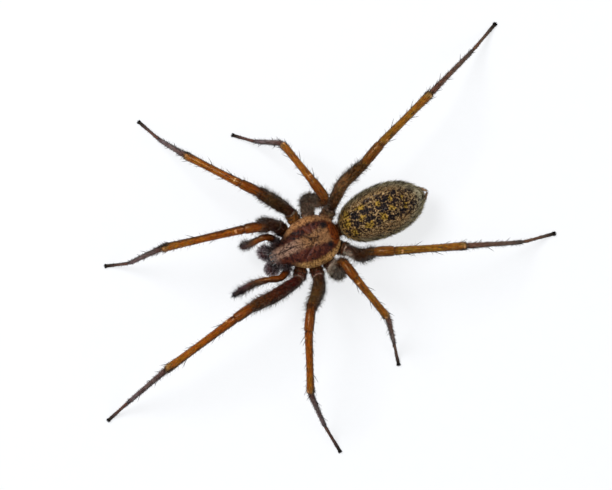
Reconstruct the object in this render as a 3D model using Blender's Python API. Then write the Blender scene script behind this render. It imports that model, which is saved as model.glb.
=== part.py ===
"""A life-size female house spider of the genus Tegenaria, standing, head towards -Y, +Z up.

Sizes are in millimetres until a mesh is made. While the pieces are built, X = 0 is the body's middle
line, Y = 0 is the waist between the two halves of the body and Z = 0 is the floor. At the end the
whole spider is shifted so that the origin lies on the floor at the middle of its spread.
"""

import math
import random

import bmesh
import bpy
import numpy as np
from mathutils import Matrix, Vector
from mathutils.bvhtree import BVHTree

MM = 0.001
GAP = 0.3

# Carapace: the shield over the head and thorax. Rows are (part of its length, size).
CARAPACE_FRONT = -6.7
CARAPACE_REAR = -0.1
CARAPACE_HALF_WIDTH = (
    (0.0, 0.7), (0.107, 0.92), (0.173, 1.12), (0.24, 1.38), (0.307, 1.67), (0.387, 2.0),
    (0.48, 2.25), (0.6, 2.34), (0.733, 2.27), (0.84, 2.0), (0.92, 1.6), (0.97, 1.15), (1.0, 0.55),
)
CARAPACE_TOP = (
    (0.0, 5.1), (0.06, 5.42), (0.2, 5.74), (0.36, 5.66), (0.6, 5.4), (0.8, 5.15), (0.92, 4.75), (1.0, 4.3),
)
CARAPACE_MARGIN = ((0.0, 4.42), (0.12, 4.2), (0.3, 3.92), (0.6, 3.86), (1.0, 3.94))
CARAPACE_SHOULDER = ((0.0, 3.0), (0.35, 2.6), (0.6, 2.2), (1.0, 2.2))
CARAPACE_ROWS = 22
CARAPACE_TOP_SIDES = 20
CARAPACE_UNDER_SIDES = 6
FOVEA_FRONT = -2.5
FOVEA_REAR = -1.8
FOVEA_DEPTH = 0.2
GROOVE_DEPTH = 0.12
GROOVE_HALF_WIDTH = 0.2
FOVEA_HALF_WIDTH = 0.16
# The groove's distance from the middle line: at the fovea, how fast it grows forwards, and its reach.
GROOVE_STARTS = 0.1
GROOVE_SPREADS = 0.72
GROOVE_ENDS = 1.9
GROOVE_OVERLAP = 0.2

# Eyes: name, turn from straight ahead, tilt upwards, radius. They look out from one point in the head.
EYE_CENTRE = (0.0, -6.0, 4.76)
EYES = (
    ("front_middle", 12.0, 6.0, 0.11),
    ("front_side", 37.0, 4.0, 0.14),
    ("rear_middle", 18.0, 40.0, 0.12),
    ("rear_side", 50.0, 28.0, 0.13),
)
EYE_STANDS_OUT = 0.35
EYE_GAP = 0.06

# Sternum, the heart-shaped plate below the thorax, with the labium in front of it.
STERNUM_OUTLINE = ((-5.05, 0.8), (-4.6, 1.1), (-3.7, 1.3), (-2.7, 1.12), (-1.7, 0.66), (-0.95, 0.14))
STERNUM_TOP = 3.56
STERNUM_BOTTOM = 2.72
STERNUM_BULGE = 0.16
LABIUM_FRONT = -5.72
LABIUM_HALF_WIDTH = 0.3
LABIUM_HEIGHTS = (2.85, 3.2)
LABIUM_BULGE = 0.09
LABIUM_ROWS = ((0.92, 1.0), (0.47, 1.0), (0.12, 0.85), (0.0, 0.55))

# Waist and abdomen.
PEDICEL_FRONT = -0.62
PEDICEL_REAR = 0.7
PEDICEL_HEIGHT = 3.25
PEDICEL_RADIUS = 0.42
ABDOMEN_FRONT = 0.1
ABDOMEN_REAR = 8.06
ABDOMEN_HALF_WIDTH = 2.28
ABDOMEN_MIDDLE = 4.15
ABDOMEN_UP = 2.12
ABDOMEN_DOWN = 1.85
ABDOMEN_DROOP = 0.5
ABDOMEN_FRONT_ROUNDNESS = 2.2
ABDOMEN_REAR_ROUNDNESS = 1.95
ABDOMEN_WIDER_BEHIND = 0.05
# How far the abdomen's rear end lies to the spider's left of the middle line.
ABDOMEN_SWING = 0.12
ABDOMEN_ROWS = 18
ABDOMEN_SIDES = 24

# Spinnerets: a pair of long jointed ones whose tips meet, a short stout pair below, on one mound.
SPINNERET_MOUND = (0.08, 7.74, 2.78)
SPINNERET_MOUND_RADII = (0.85, 0.62, 0.58)
SPINNERET_COURSES = (
    ((-0.5, 7.72, 2.55), (-0.46, 8.06, 2.7), (-0.18, 8.42, 2.92), (0.02, 8.62, 3.05)),
    ((0.66, 7.68, 2.55), (0.74, 7.98, 2.68), (0.42, 8.34, 2.9), (0.14, 8.6, 3.04)),
    ((-0.2, 7.8, 2.45), (-0.22, 8.34, 2.34)),
    ((0.36, 7.8, 2.45), (0.4, 8.34, 2.34)),
)
SPINNERET_RADII = ((0.25, 0.14), (0.25, 0.14), (0.26, 0.17), (0.26, 0.17))

# Chelicerae (jaws) and fangs, the spider's left one. The right one is its mirror image.
# Rows from top to bottom: height, middle across, middle along, half width, half depth.
CHELICERA_ROWS = (
    (4.46, 0.68, -6.94, 0.3, 0.32), (4.34, 0.71, -6.92, 0.45, 0.49), (4.08, 0.75, -6.89, 0.58, 0.63),
    (3.72, 0.76, -6.87, 0.62, 0.66), (3.34, 0.75, -6.86, 0.6, 0.61), (3.0, 0.72, -6.86, 0.52, 0.5),
    (2.74, 0.67, -6.87, 0.41, 0.38), (2.6, 0.63, -6.87, 0.27, 0.25),
)
CHELICERA_SIDES = 16
FANG_COURSE = ((0.64, -6.98, 2.9), (0.52, -7.1, 2.45), (0.2, -6.85, 2.3))
FANG_RADII = ((0.0, 0.17), (0.5, 0.12), (1.0, 0.04))

# Palps. Corners: base in the maxilla, trochanter, end of the femur, patella, tibia, and the tip.
MAXILLA_COURSE = ((0.76, -5.4, 3.08), (0.66, -6.2, 2.92))
MAXILLA_RADII = ((0.0, 0.22), (0.4, 0.3), (0.8, 0.27), (1.0, 0.16))
PALPS = {
    "right": ((-0.8, -5.55, 3.1), (-1.46, -5.6, 3.35), (-2.05, -6.2, 4.85), (-2.1, -6.96, 4.75),
              (-2.03, -7.82, 4.1), (-2.14, -8.64, 2.15)),
    "left": ((0.8, -5.55, 3.1), (1.5, -5.62, 3.35), (1.92, -6.62, 4.6), (1.53, -7.57, 4.95),
             (1.33, -8.88, 4.15), (1.58, -11.14, 2.6)),
}
PALP_UPPER_RADII = ((0.0, 0.22), (0.3, 0.31), (0.7, 0.32), (1.0, 0.28))
PALP_LOWER_RADII = ((0.0, 0.28), (0.3, 0.3), (0.7, 0.26), (1.0, 0.12))

# Legs, first to fourth pair: coxa root and trochanter joint of the left leg, and how thick the coxa,
# the femur and the rest of the leg are.
LEG_ROOTS = {
    1: ((1.42, -4.42, 3.1), (2.66, -5.0, 3.35), (1.1, 1.0, 1.0)),
    2: ((1.65, -3.3, 3.1), (3.25, -3.36, 3.35), (1.06, 1.0, 0.98)),
    3: ((1.55, -2.25, 3.1), (3.1, -1.8, 3.35), (1.06, 1.06, 0.94)),
    4: ((0.95, -1.35, 3.1), (2.02, 0.06, 3.35), (1.12, 0.94, 1.0)),
}
# Corners of each leg: middle of the femur, knee, end of the patella, ankle, start of the tarsus, tip.
LEGS = {
    "right_1": ((-3.09, -5.94, 6.9), (-3.0, -6.16, 10.2), (-3.37, -7.57, 10.3),
                (-4.84, -15.11, 7.6), (-4.89, -18.55, 1.7), (-5.58, -20.78, 0.17)),
    "left_1": ((3.09, -7.47, 6.2), (3.15, -9.92, 8.6), (3.48, -11.56, 8.9),
               (5.19, -19.14, 6.8), (6.58, -23.75, 1.7), (7.39, -26.22, 0.17)),
    "right_2": ((-4.68, -4.31, 6.4), (-5.85, -5.16, 8.7), (-7.2, -6.34, 8.9),
                (-11.58, -9.87, 7.1), (-14.03, -11.55, 1.7), (-16.37, -12.66, 0.17)),
    "left_2": ((4.26, -3.92, 6.4), (5.42, -5.17, 8.9), (7.1, -6.13, 9.2),
               (12.27, -8.22, 7.0), (15.68, -8.35, 1.7), (18.56, -8.03, 0.17)),
    "right_3": ((-3.49, -1.6, 6.3), (-2.77, 0.02, 8.7), (-4.91, -0.48, 9.0),
                (-9.01, -1.55, 7.0), (-10.31, -3.67, 1.6), (-11.81, -5.38, 0.17)),
    "left_3": ((3.54, -1.71, 6.3), (2.67, -0.9, 8.8), (4.49, -0.46, 9.1),
               (8.87, 0.74, 7.0), (11.36, 0.42, 1.6), (13.5, 0.0, 0.17)),
    "right_4": ((-3.6, 1.86, 6.3), (-4.46, 4.42, 8.6), (-5.39, 6.29, 8.9),
                (-7.75, 12.3, 7.1), (-9.9, 17.64, 1.7), (-11.37, 20.67, 0.17)),
    "left_4": ((2.98, 0.79, 6.6), (3.04, 2.02, 9.5), (3.68, 3.58, 9.7),
               (5.9, 9.7, 7.3), (7.78, 14.75, 1.7), (8.28, 17.89, 0.17)),
}
FOOT_LENGTH = 0.66
FOOT_FLAT_BELOW = 0.09
BEND_REACH = 0.8
LEG_SIDES = 10
END_ROUNDING = 0.1
END_NARROWS = 0.84

# Leg spines: part of the length, turn around the leg from its upper side in degrees, and length.
SPINES = {
    "femur": ((0.34, 0.0, 1.1), (0.6, -60.0, 1.2), (0.66, 60.0, 1.2)),
    "tibia": ((0.3, 75.0, 1.25), (0.42, -75.0, 1.25), (0.64, 110.0, 1.3), (0.74, -110.0, 1.3)),
    "metatarsus": ((0.2, -100.0, 1.2), (0.34, 100.0, 1.2), (0.6, 150.0, 1.2), (0.72, -90.0, 1.1)),
}
SPINE_ROOT_RADIUS = 0.14
SPINE_SUNK = 0.7
SPINE_LEAN = 38.0
THORN_SIDES = 5
THORN_NARROWS = 0.85
SPINE_SEED = 41
# How far chance moves a spine along the leg and around it, changes its length, and tips it.
SPINE_STRAYS = 0.03
SPINE_TURNS = 12.0
SPINE_LENGTHS = (0.9, 1.1)
SPINE_TIPS = 5.0

# Two claws end each foot: they reach this far past it, root radius, spread from the middle line.
CLAW_REACH = 0.24
CLAW_RADIUS = 0.075
CLAW_SPREAD = 0.15
CLAW_TIP_HEIGHT = 0.04
# Where a claw starts and bends: shares of its reach along the foot, and of its spread to the side.
CLAW_START = (-0.6, 0.4)
CLAW_BEND = (0.5, 0.9)

# Radius along each length of a leg, from its start (0) to its end (1).
COXA_RADII = ((0.0, 0.38), (0.35, 0.54), (0.6, 0.6), (0.74, 0.54), (0.85, 0.58), (1.0, 0.5))
FEMUR_RADII = ((0.0, 0.48), (0.12, 0.57), (0.45, 0.62), (0.75, 0.56), (1.0, 0.47))
PATELLA_RADII = ((0.0, 0.45), (0.5, 0.47), (1.0, 0.41))
TIBIA_RADII = ((0.0, 0.42), (0.15, 0.41), (0.6, 0.35), (0.88, 0.36), (0.96, 0.39), (1.0, 0.36))
METATARSUS_RADII = ((0.0, 0.3), (0.5, 0.27), (1.0, 0.26))
TARSUS_RADII = ((0.0, 0.26), (0.6, 0.25), (0.88, 0.22), (1.0, 0.17))

# Colours as seen on the animal, and how rough each surface is.
FINISHES = {
    "carapace": ((0.16, 0.085, 0.045), 0.5),
    "sternum": ((0.11, 0.06, 0.035), 0.55),
    "pedicel": ((0.2, 0.09, 0.035), 0.5),
    "abdomen": ((0.13, 0.1, 0.04), 0.75),
    "spinnerets": ((0.17, 0.1, 0.05), 0.6),
    "chelicera": ((0.035, 0.025, 0.028), 0.4),
    "palp_upper": ((0.2, 0.055, 0.02), 0.45),
    "palp_lower": ((0.09, 0.04, 0.03), 0.5),
    "eye": ((0.012, 0.011, 0.012), 0.12),
    "coxa": ((0.1, 0.04, 0.025), 0.5),
    "femur": ((0.07, 0.04, 0.025), 0.55),
    "tibia": ((0.3, 0.115, 0.025), 0.35),
    "metatarsus": ((0.1, 0.05, 0.05), 0.55),
    "tarsus": ((0.14, 0.04, 0.03), 0.5),
}


def value_at(rows, place):
    """Reads a smooth curve without overshoot through rows of (place, value)."""
    places = [row[0] for row in rows]
    values = [row[1] for row in rows]
    if place <= places[0]:
        return values[0]
    if place >= places[-1]:
        return values[-1]
    gaps = [b - a for a, b in zip(places, places[1:])]
    rises = [(b - a) / g for a, b, g in zip(values, values[1:], gaps)]
    slopes = [rises[0]]
    for before, after in zip(rises, rises[1:]):
        slopes.append(2 * before * after / (before + after) if before * after > 0 else 0.0)
    slopes.append(rises[-1])
    i = max(k for k in range(len(gaps)) if places[k] <= place)
    t = (place - places[i]) / gaps[i]
    start = (1 + 2 * t) * (1 - t) ** 2 * values[i] + t * (1 - t) ** 2 * gaps[i] * slopes[i]
    end = t * t * (3 - 2 * t) * values[i + 1] + t * t * (t - 1) * gaps[i] * slopes[i + 1]
    return start + end


def rounded_course(corners, reach):
    """Turns corners into close points on a curve, and says how far along it each corner lies."""
    corners = [np.array(c, float) for c in corners]
    points = [corners[0]]
    marks = [0]
    for before, corner, after in zip(corners, corners[1:], corners[2:]):
        way_in = before - corner
        way_out = after - corner
        length_in = np.linalg.norm(way_in)
        length_out = np.linalg.norm(way_out)
        start = corner + way_in / length_in * min(reach, 0.45 * length_in)
        end = corner + way_out / length_out * min(reach, 0.45 * length_out)
        steps = 12
        for k in range(steps + 1):
            t = k / steps
            points.append((1 - t) ** 2 * start + 2 * t * (1 - t) * corner + t * t * end)
            if k == steps // 2:
                marks.append(len(points) - 1)
    points.append(corners[-1])
    marks.append(len(points) - 1)
    points = np.array(points)
    lengths = np.concatenate([[0.0], np.cumsum(np.linalg.norm(np.diff(points, axis=0), axis=1))])
    return points, lengths, [lengths[m] for m in marks]


def point_on(course, distance):
    points, lengths, _ = course
    return np.array([np.interp(distance, lengths, points[:, axis]) for axis in range(3)])


def frames_on(course, distances):
    """Centre, direction, upper side and its side at each distance, turning as little as possible."""
    step = 0.02 * course[1][-1]
    up = np.array((0.0, 0.0, 1.0))
    frames = []
    for distance in distances:
        ahead = point_on(course, min(distance + step, course[1][-1]))
        behind = point_on(course, max(distance - step, 0.0))
        along = (ahead - behind) / np.linalg.norm(ahead - behind)
        up = up - along * np.dot(up, along)
        up = up / np.linalg.norm(up)
        frames.append((point_on(course, distance), along, up, np.cross(along, up)))
    return frames


def rings_on(course, distances, radii, sides):
    """Rings of points square to the course, their first point kept on the upper side."""
    turns = [2 * math.pi * (k + 0.5) / sides for k in range(sides)]
    rings = []
    for (centre, _, up, aside), radius in zip(frames_on(course, distances), radii):
        rings.append([centre + radius * (math.cos(a) * up + math.sin(a) * aside) for a in turns])
    return rings


def finish(name, kind):
    colour, roughness = FINISHES[kind]
    material = bpy.data.materials.new(name + "_finish")
    material.use_nodes = True
    shader = material.node_tree.nodes["Principled BSDF"]
    shader.inputs["Base Color"].default_value = (*colour, 1.0)
    shader.inputs["Roughness"].default_value = roughness
    shader.inputs["Metallic"].default_value = 0.0
    return material


def solid_from_rings(name, rings):
    """A closed body skinned over rings of equal count, its two ends filled."""
    shape = bmesh.new()
    rows = [[shape.verts.new(Vector(p) * MM) for p in ring] for ring in rings]
    count = len(rows[0])
    for row, following in zip(rows, rows[1:]):
        for k in range(count):
            after = (k + 1) % count
            shape.faces.new((row[k], row[after], following[after], following[k]))
    shape.faces.new(rows[0])
    shape.faces.new(rows[-1])
    bmesh.ops.triangulate(shape, faces=shape.faces)
    bmesh.ops.recalc_face_normals(shape, faces=shape.faces)
    if shape.calc_volume(signed=True) < 0:
        bmesh.ops.reverse_faces(shape, faces=shape.faces)
    mesh = bpy.data.meshes.new(name)
    shape.to_mesh(mesh)
    shape.free()
    piece = bpy.data.objects.new(name, mesh)
    bpy.context.scene.collection.objects.link(piece)
    return piece


def tube(name, course, start, end, radius_at, rows, sides):
    """A limb between two distances on a course, with softly rounded edges at its ends."""
    inner = np.linspace(start + END_ROUNDING, end - END_ROUNDING, rows)
    distances = [start, *inner, end]
    radii = [radius_at((d - start) / (end - start)) for d in distances]
    radii[0] *= END_NARROWS
    radii[-1] *= END_NARROWS
    return solid_from_rings(name, rings_on(course, distances, radii, sides))


def ball(name, centre, radii, rows=8, sides=12):
    """An egg-like closed body built from rings along Y."""
    rings = []
    for k in range(1, rows):
        a = math.pi * k / rows
        across = math.sin(a)
        y = centre[1] - radii[1] * math.cos(a)
        rings.append([
            (centre[0] + radii[0] * across * math.cos(b), y, centre[2] + radii[2] * across * math.sin(b))
            for b in (2 * math.pi * j / sides for j in range(sides))
        ])
    return solid_from_rings(name, rings)


def keep_largest(piece):
    """Leaves only the largest closed surface of a piece."""
    shape = bmesh.new()
    shape.from_mesh(piece.data)
    unseen = set(shape.faces)
    groups = []
    while unseen:
        group = []
        waiting = [unseen.pop()]
        while waiting:
            face = waiting.pop()
            group.append(face)
            for edge in face.edges:
                for other in edge.link_faces:
                    if other in unseen:
                        unseen.remove(other)
                        waiting.append(other)
        groups.append(group)
    groups.sort(key=lambda group: sum(face.calc_area() for face in group))
    for group in groups[:-1]:
        bmesh.ops.delete(shape, geom=group, context="FACES")
    shape.to_mesh(piece.data)
    shape.free()


def combine(piece, others, operation):
    """Joins other closed bodies to a piece, or cuts them from it, and removes them."""
    helpers = bpy.data.collections.new("helpers")
    for other in others:
        helpers.objects.link(other)
    change = piece.modifiers.new("combine", "BOOLEAN")
    change.operation = operation
    change.operand_type = "COLLECTION"
    change.collection = helpers
    change.solver = "EXACT"
    seen = piece.evaluated_get(bpy.context.evaluated_depsgraph_get())
    mesh = bpy.data.meshes.new_from_object(seen)
    piece.modifiers.clear()
    piece.data = mesh
    for other in others:
        bpy.data.objects.remove(other)
    bpy.data.collections.remove(helpers)
    keep_largest(piece)
    return piece


def place(piece, parent, origin, kind, smooth_angle=50.0):
    """Gives a finished piece its own origin, parent, material and shading."""
    parent_origin = Vector(parent["origin_mm"]) * MM
    origin = Vector(origin) * MM
    piece.data.transform(Matrix.Translation(-origin))
    piece.location = origin - parent_origin
    piece.parent = parent
    piece.data.materials.clear()
    piece.data.materials.append(finish(piece.name, kind))
    piece.data.shade_smooth()
    piece.data.set_sharp_from_angle(angle=math.radians(smooth_angle))
    return piece


def anchor(name, origin, parent=None):
    """An empty that carries the pieces of one limb."""
    empty = bpy.data.objects.new(name, None)
    empty.empty_display_size = 0.001
    empty["origin_mm"] = origin
    bpy.context.scene.collection.objects.link(empty)
    if parent:
        empty.parent = parent
        empty.location = (Vector(origin) - Vector(parent["origin_mm"])) * MM
    return empty


def carapace_relief(x, y):
    """How far the fovea and the grooves beside the head press the carapace in."""
    middle = 0.5 * (FOVEA_FRONT + FOVEA_REAR)
    half = 0.5 * (FOVEA_REAR - FOVEA_FRONT)
    fovea = FOVEA_DEPTH * math.exp(-(x / FOVEA_HALF_WIDTH) ** 2 - ((y - middle) / half) ** 4)
    # The groove runs from the fovea forwards and outwards, between head and thorax.
    line = GROOVE_STARTS + GROOVE_SPREADS * (FOVEA_FRONT + GROOVE_OVERLAP - y)
    inside = 0.0 < line < GROOVE_ENDS
    groove = GROOVE_DEPTH * math.exp(-((abs(x) - line) / GROOVE_HALF_WIDTH) ** 2) if inside else 0.0
    return fovea + groove


def carapace_solid(name, grow=0.0):
    rings = []
    for row in range(CARAPACE_ROWS + 1):
        part = 0.5 - 0.5 * math.cos(math.pi * row / CARAPACE_ROWS)
        part = 0.55 * part + 0.45 * row / CARAPACE_ROWS
        y = CARAPACE_FRONT - grow + part * (CARAPACE_REAR - CARAPACE_FRONT + 2 * grow)
        half_width = value_at(CARAPACE_HALF_WIDTH, part) + grow
        low = value_at(CARAPACE_MARGIN, part) - grow
        high = value_at(CARAPACE_TOP, part) + grow
        shoulder = value_at(CARAPACE_SHOULDER, part)
        ring = []
        for k in range(CARAPACE_TOP_SIDES + 1):
            a = math.pi * k / CARAPACE_TOP_SIDES
            x = half_width * math.copysign(abs(math.cos(a)) ** (2 / shoulder), math.cos(a))
            z = low + (high - low) * math.sin(a) ** (2 / 2.1)
            ring.append((x, y, z - carapace_relief(x, y) * math.sin(a)))
        for k in range(1, CARAPACE_UNDER_SIDES):
            x = -half_width + 2 * half_width * k / CARAPACE_UNDER_SIDES
            ring.append((x, y, low))
        rings.append(ring)
    return solid_from_rings(name, rings)


def eyes_on(carapace, parent):
    """Eight eyes in shallow cups, found where their lines of sight leave the head."""
    surface = BVHTree.FromObject(carapace, bpy.context.evaluated_depsgraph_get())
    centre = Vector(EYE_CENTRE) * MM
    cups = []
    eyes = []
    for side, sign in (("right", -1.0), ("left", 1.0)):
        for name, turn, tilt, radius in EYES:
            a = math.radians(turn)
            b = math.radians(tilt)
            sight = Vector((sign * math.sin(a) * math.cos(b), -math.cos(a) * math.cos(b), math.sin(b)))
            far = centre + sight * 5 * MM
            spot, normal, _, _ = surface.ray_cast(far, -sight)
            middle = (spot - normal * radius * EYE_STANDS_OUT * MM) / MM
            eyes.append((f"eye_{side}_{name}", middle, radius))
            cups.append(eye_ball("cup", middle, radius + EYE_GAP))
    combine(carapace, cups, "DIFFERENCE")
    for name, middle, radius in eyes:
        place(eye_ball(name, middle, radius), parent, middle, "eye", 180.0)


def eye_ball(name, middle, radius):
    shape = bmesh.new()
    bmesh.ops.create_icosphere(shape, subdivisions=2, radius=radius * MM)
    bmesh.ops.translate(shape, verts=shape.verts, vec=Vector(middle) * MM)
    mesh = bpy.data.meshes.new(name)
    shape.to_mesh(mesh)
    shape.free()
    piece = bpy.data.objects.new(name, mesh)
    bpy.context.scene.collection.objects.link(piece)
    return piece


def sternum(parent):
    """A heart-shaped plate, bulged below, with the labium joined in front."""
    front, rear = STERNUM_OUTLINE[0][0], STERNUM_OUTLINE[-1][0]
    widest = max(row[1] for row in STERNUM_OUTLINE)
    rings = []
    for row in range(11):
        y = front + (rear - front) * row / 10
        half_width = value_at(STERNUM_OUTLINE, y)
        fullness = half_width / widest
        ring = [(half_width * c, y, STERNUM_TOP) for c in (1.0, 0.5, 0.0, -0.5, -1.0)]
        for c in (-1.0, -0.6, 0.0, 0.6, 1.0):
            drop = STERNUM_BULGE * fullness * (1 - c * c)
            ring.append((half_width * c, y, STERNUM_BOTTOM - drop))
        rings.append(ring)
    plate = solid_from_rings("sternum", rings)
    lip_rings = []
    low, high = LABIUM_HEIGHTS
    for back, scale in LABIUM_ROWS:
        y = LABIUM_FRONT + back
        w = LABIUM_HALF_WIDTH * scale
        above = [(w, y, high), (0.0, y, high + LABIUM_BULGE), (-w, y, high)]
        below = [(-w, y, low), (0.0, y, low - LABIUM_BULGE), (w, y, low)]
        lip_rings.append(above + below)
    combine(plate, [solid_from_rings("labium", lip_rings)], "UNION")
    place(plate, parent, (0.0, -3.0, STERNUM_TOP), "sternum", 35.0)


def abdomen_size(part):
    """Share of the full half width at a part (0 to 1) of the abdomen's length."""
    along = 2 * part - 1
    roundness = ABDOMEN_FRONT_ROUNDNESS if along < 0 else ABDOMEN_REAR_ROUNDNESS
    round_end = max(0.0, 1 - abs(along) ** roundness) ** (1 / roundness)
    return round_end * (1 + ABDOMEN_WIDER_BEHIND * along)


def abdomen_solid(name, grow=0.0):
    """The hind body, whose middle line sinks a little towards the spinnerets."""
    rings = []
    for row in range(1, ABDOMEN_ROWS):
        part = 0.5 - 0.5 * math.cos(math.pi * row / ABDOMEN_ROWS)
        size = abdomen_size(part)
        y = ABDOMEN_FRONT - grow + part * (ABDOMEN_REAR - ABDOMEN_FRONT + 2 * grow)
        middle = ABDOMEN_MIDDLE - ABDOMEN_DROOP * part * part
        ring = []
        for k in range(ABDOMEN_SIDES):
            a = 2 * math.pi * k / ABDOMEN_SIDES
            height = ABDOMEN_UP if math.sin(a) > 0 else ABDOMEN_DOWN
            x = ABDOMEN_SWING * part * part + (ABDOMEN_HALF_WIDTH * size + grow) * math.cos(a)
            ring.append((x, y, middle + (height * size + grow) * math.sin(a)))
        rings.append(ring)
    return solid_from_rings(name, rings)


def pedicel(parent):
    course = rounded_course(((0.0, PEDICEL_FRONT, PEDICEL_HEIGHT), (0.0, PEDICEL_REAR, PEDICEL_HEIGHT)), 0.1)
    waist = tube("pedicel", course, 0.0, PEDICEL_REAR - PEDICEL_FRONT, lambda t: PEDICEL_RADIUS, 4, 12)
    combine(waist, [abdomen_solid("clearance", GAP)], "DIFFERENCE")
    place(waist, parent, (0.0, PEDICEL_FRONT, PEDICEL_HEIGHT), "pedicel")


def spinnerets(parent):
    mound = ball("spinnerets", SPINNERET_MOUND, SPINNERET_MOUND_RADII)
    arms = []
    for corners, (root, tip) in zip(SPINNERET_COURSES, SPINNERET_RADII):
        course = rounded_course(corners, 0.3)

        def narrowing(t, root=root, tip=tip):
            return root + (tip - root) * t

        arms.append(tube("arm", course, 0.0, course[1][-1], narrowing, len(corners) + 1, 8))
    combine(mound, arms, "UNION")
    combine(mound, [abdomen_solid("clearance", GAP)], "DIFFERENCE")
    place(mound, parent, SPINNERET_MOUND, "spinnerets")


def chelicera(side, sign, parent):
    """A stout jaw that bulges forwards below the eyes, with its fang folded inwards."""
    rings = []
    for z, x, y, half_width, half_depth in CHELICERA_ROWS:
        turns = [2 * math.pi * k / CHELICERA_SIDES for k in range(CHELICERA_SIDES)]
        rings.append([(sign * x + half_width * math.cos(a), y + half_depth * math.sin(a), z) for a in turns])
    jaw = solid_from_rings(f"chelicera_{side}", rings)
    fang_course = rounded_course([(sign * x, y, z) for x, y, z in FANG_COURSE], 0.3)
    length = fang_course[1][-1]
    fang = tube("fang", fang_course, 0.0, length, lambda t: value_at(FANG_RADII, t), 5, 8)
    combine(jaw, [fang], "UNION")
    combine(jaw, [carapace_solid("clearance", GAP)], "DIFFERENCE")
    root = CHELICERA_ROWS[2]
    place(jaw, parent, (sign * root[1], root[2], root[0]), "chelicera")


def palp(side, sign, parent):
    """A slender feeler in two lengths: maxilla to patella, then tibia and tarsus."""
    corners = PALPS[side]
    limb = anchor(f"palp_{side}", corners[0], parent)
    course = rounded_course(corners, 0.45)
    split = course[2][3]
    upper = tube(f"palp_{side}_femur", course, 0.0, split - GAP / 2,
                 lambda t: value_at(PALP_UPPER_RADII, t), 9, 10)
    blade = rounded_course([(sign * x, y, z) for x, y, z in MAXILLA_COURSE], 0.1)
    maxilla = tube("maxilla", blade, 0.0, blade[1][-1], lambda t: value_at(MAXILLA_RADII, t), 4, 10)
    combine(upper, [maxilla], "UNION")
    combine(upper, [carapace_solid("clearance", GAP)], "DIFFERENCE")
    place(upper, limb, corners[0], "palp_upper")
    lower = tube(f"palp_{side}_tarsus", course, split + GAP / 2, course[1][-1],
                 lambda t: value_at(PALP_LOWER_RADII, t), 8, 10)
    place(lower, limb, corners[3], "palp_lower")


def leg_course(side, sign, pair):
    """The middle line of a whole leg, from its coxa to the end of the foot."""
    root, joint, _ = LEG_ROOTS[pair]
    corners = LEGS[f"{side}_{pair}"]
    tip = np.array(corners[-1])
    back = np.array(corners[-2]) - tip
    back[2] = 0.0
    back = back / np.linalg.norm(back)
    roots = [(sign * x, y, z) for x, y, z in (root, joint)]
    foot = (tip + back * FOOT_LENGTH, tip + back * CLAW_REACH)
    return rounded_course([*roots, *corners[:-1], *foot], BEND_REACH)


def shin_radius(knee_part, thick):
    """Radius along patella and tibia together, where the patella is the first part of the length."""
    def radius(t):
        if t < knee_part:
            return thick * value_at(PATELLA_RADII, t / knee_part)
        return thick * value_at(TIBIA_RADII, (t - knee_part) / (1 - knee_part))
    return radius


def thorn(points, radius):
    """A cone of few sides through its points, from a stout root to a fine tip."""
    course = rounded_course(points, 0.0)
    radii = [radius * (1 - THORN_NARROWS * k / (len(points) - 1)) for k in range(len(points))]
    return solid_from_rings("thorn", rings_on(course, course[2], radii, THORN_SIDES))


def spines_on(piece, kind, course, start, end, radius_at, draw):
    """Joins a row of stout spines to a leg piece, leaning towards the foot."""
    spines = []
    for part, turn, length in SPINES[kind]:
        part += draw.uniform(-SPINE_STRAYS, SPINE_STRAYS)
        turn = math.radians(turn + draw.uniform(-SPINE_TURNS, SPINE_TURNS))
        length *= draw.uniform(*SPINE_LENGTHS)
        lean = math.radians(SPINE_LEAN + draw.uniform(-SPINE_TIPS, SPINE_TIPS))
        distances = np.linspace(start, start + part * (end - start), 4)
        centre, along, up, aside = frames_on(course, distances)[-1]
        outwards = math.cos(turn) * up + math.sin(turn) * aside
        way = math.cos(lean) * along + math.sin(lean) * outwards
        skin = centre + outwards * radius_at(part)
        root = skin - way * SPINE_SUNK * radius_at(part)
        spines.append(thorn((root, skin + way * length), SPINE_ROOT_RADIUS))
    return combine(piece, spines, "UNION")


def claws_on(foot, course):
    """Two small hooks that leave the end of the foot side by side."""
    end = course[0][-1]
    ahead = end - point_on(course, course[1][-1] - 0.1)
    ahead = ahead / np.linalg.norm(ahead)
    aside = np.cross(ahead, (0.0, 0.0, 1.0))
    hooks = []
    for sign in (-1.0, 1.0):
        root, bend, tip = (
            end + ahead * along * CLAW_REACH + aside * sign * out * CLAW_SPREAD
            for along, out in (CLAW_START, CLAW_BEND, (1.0, 1.0))
        )
        tip[2] = CLAW_TIP_HEIGHT
        hooks.append(thorn((root, bend, tip), CLAW_RADIUS))
    return combine(foot, hooks, "UNION")


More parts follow.
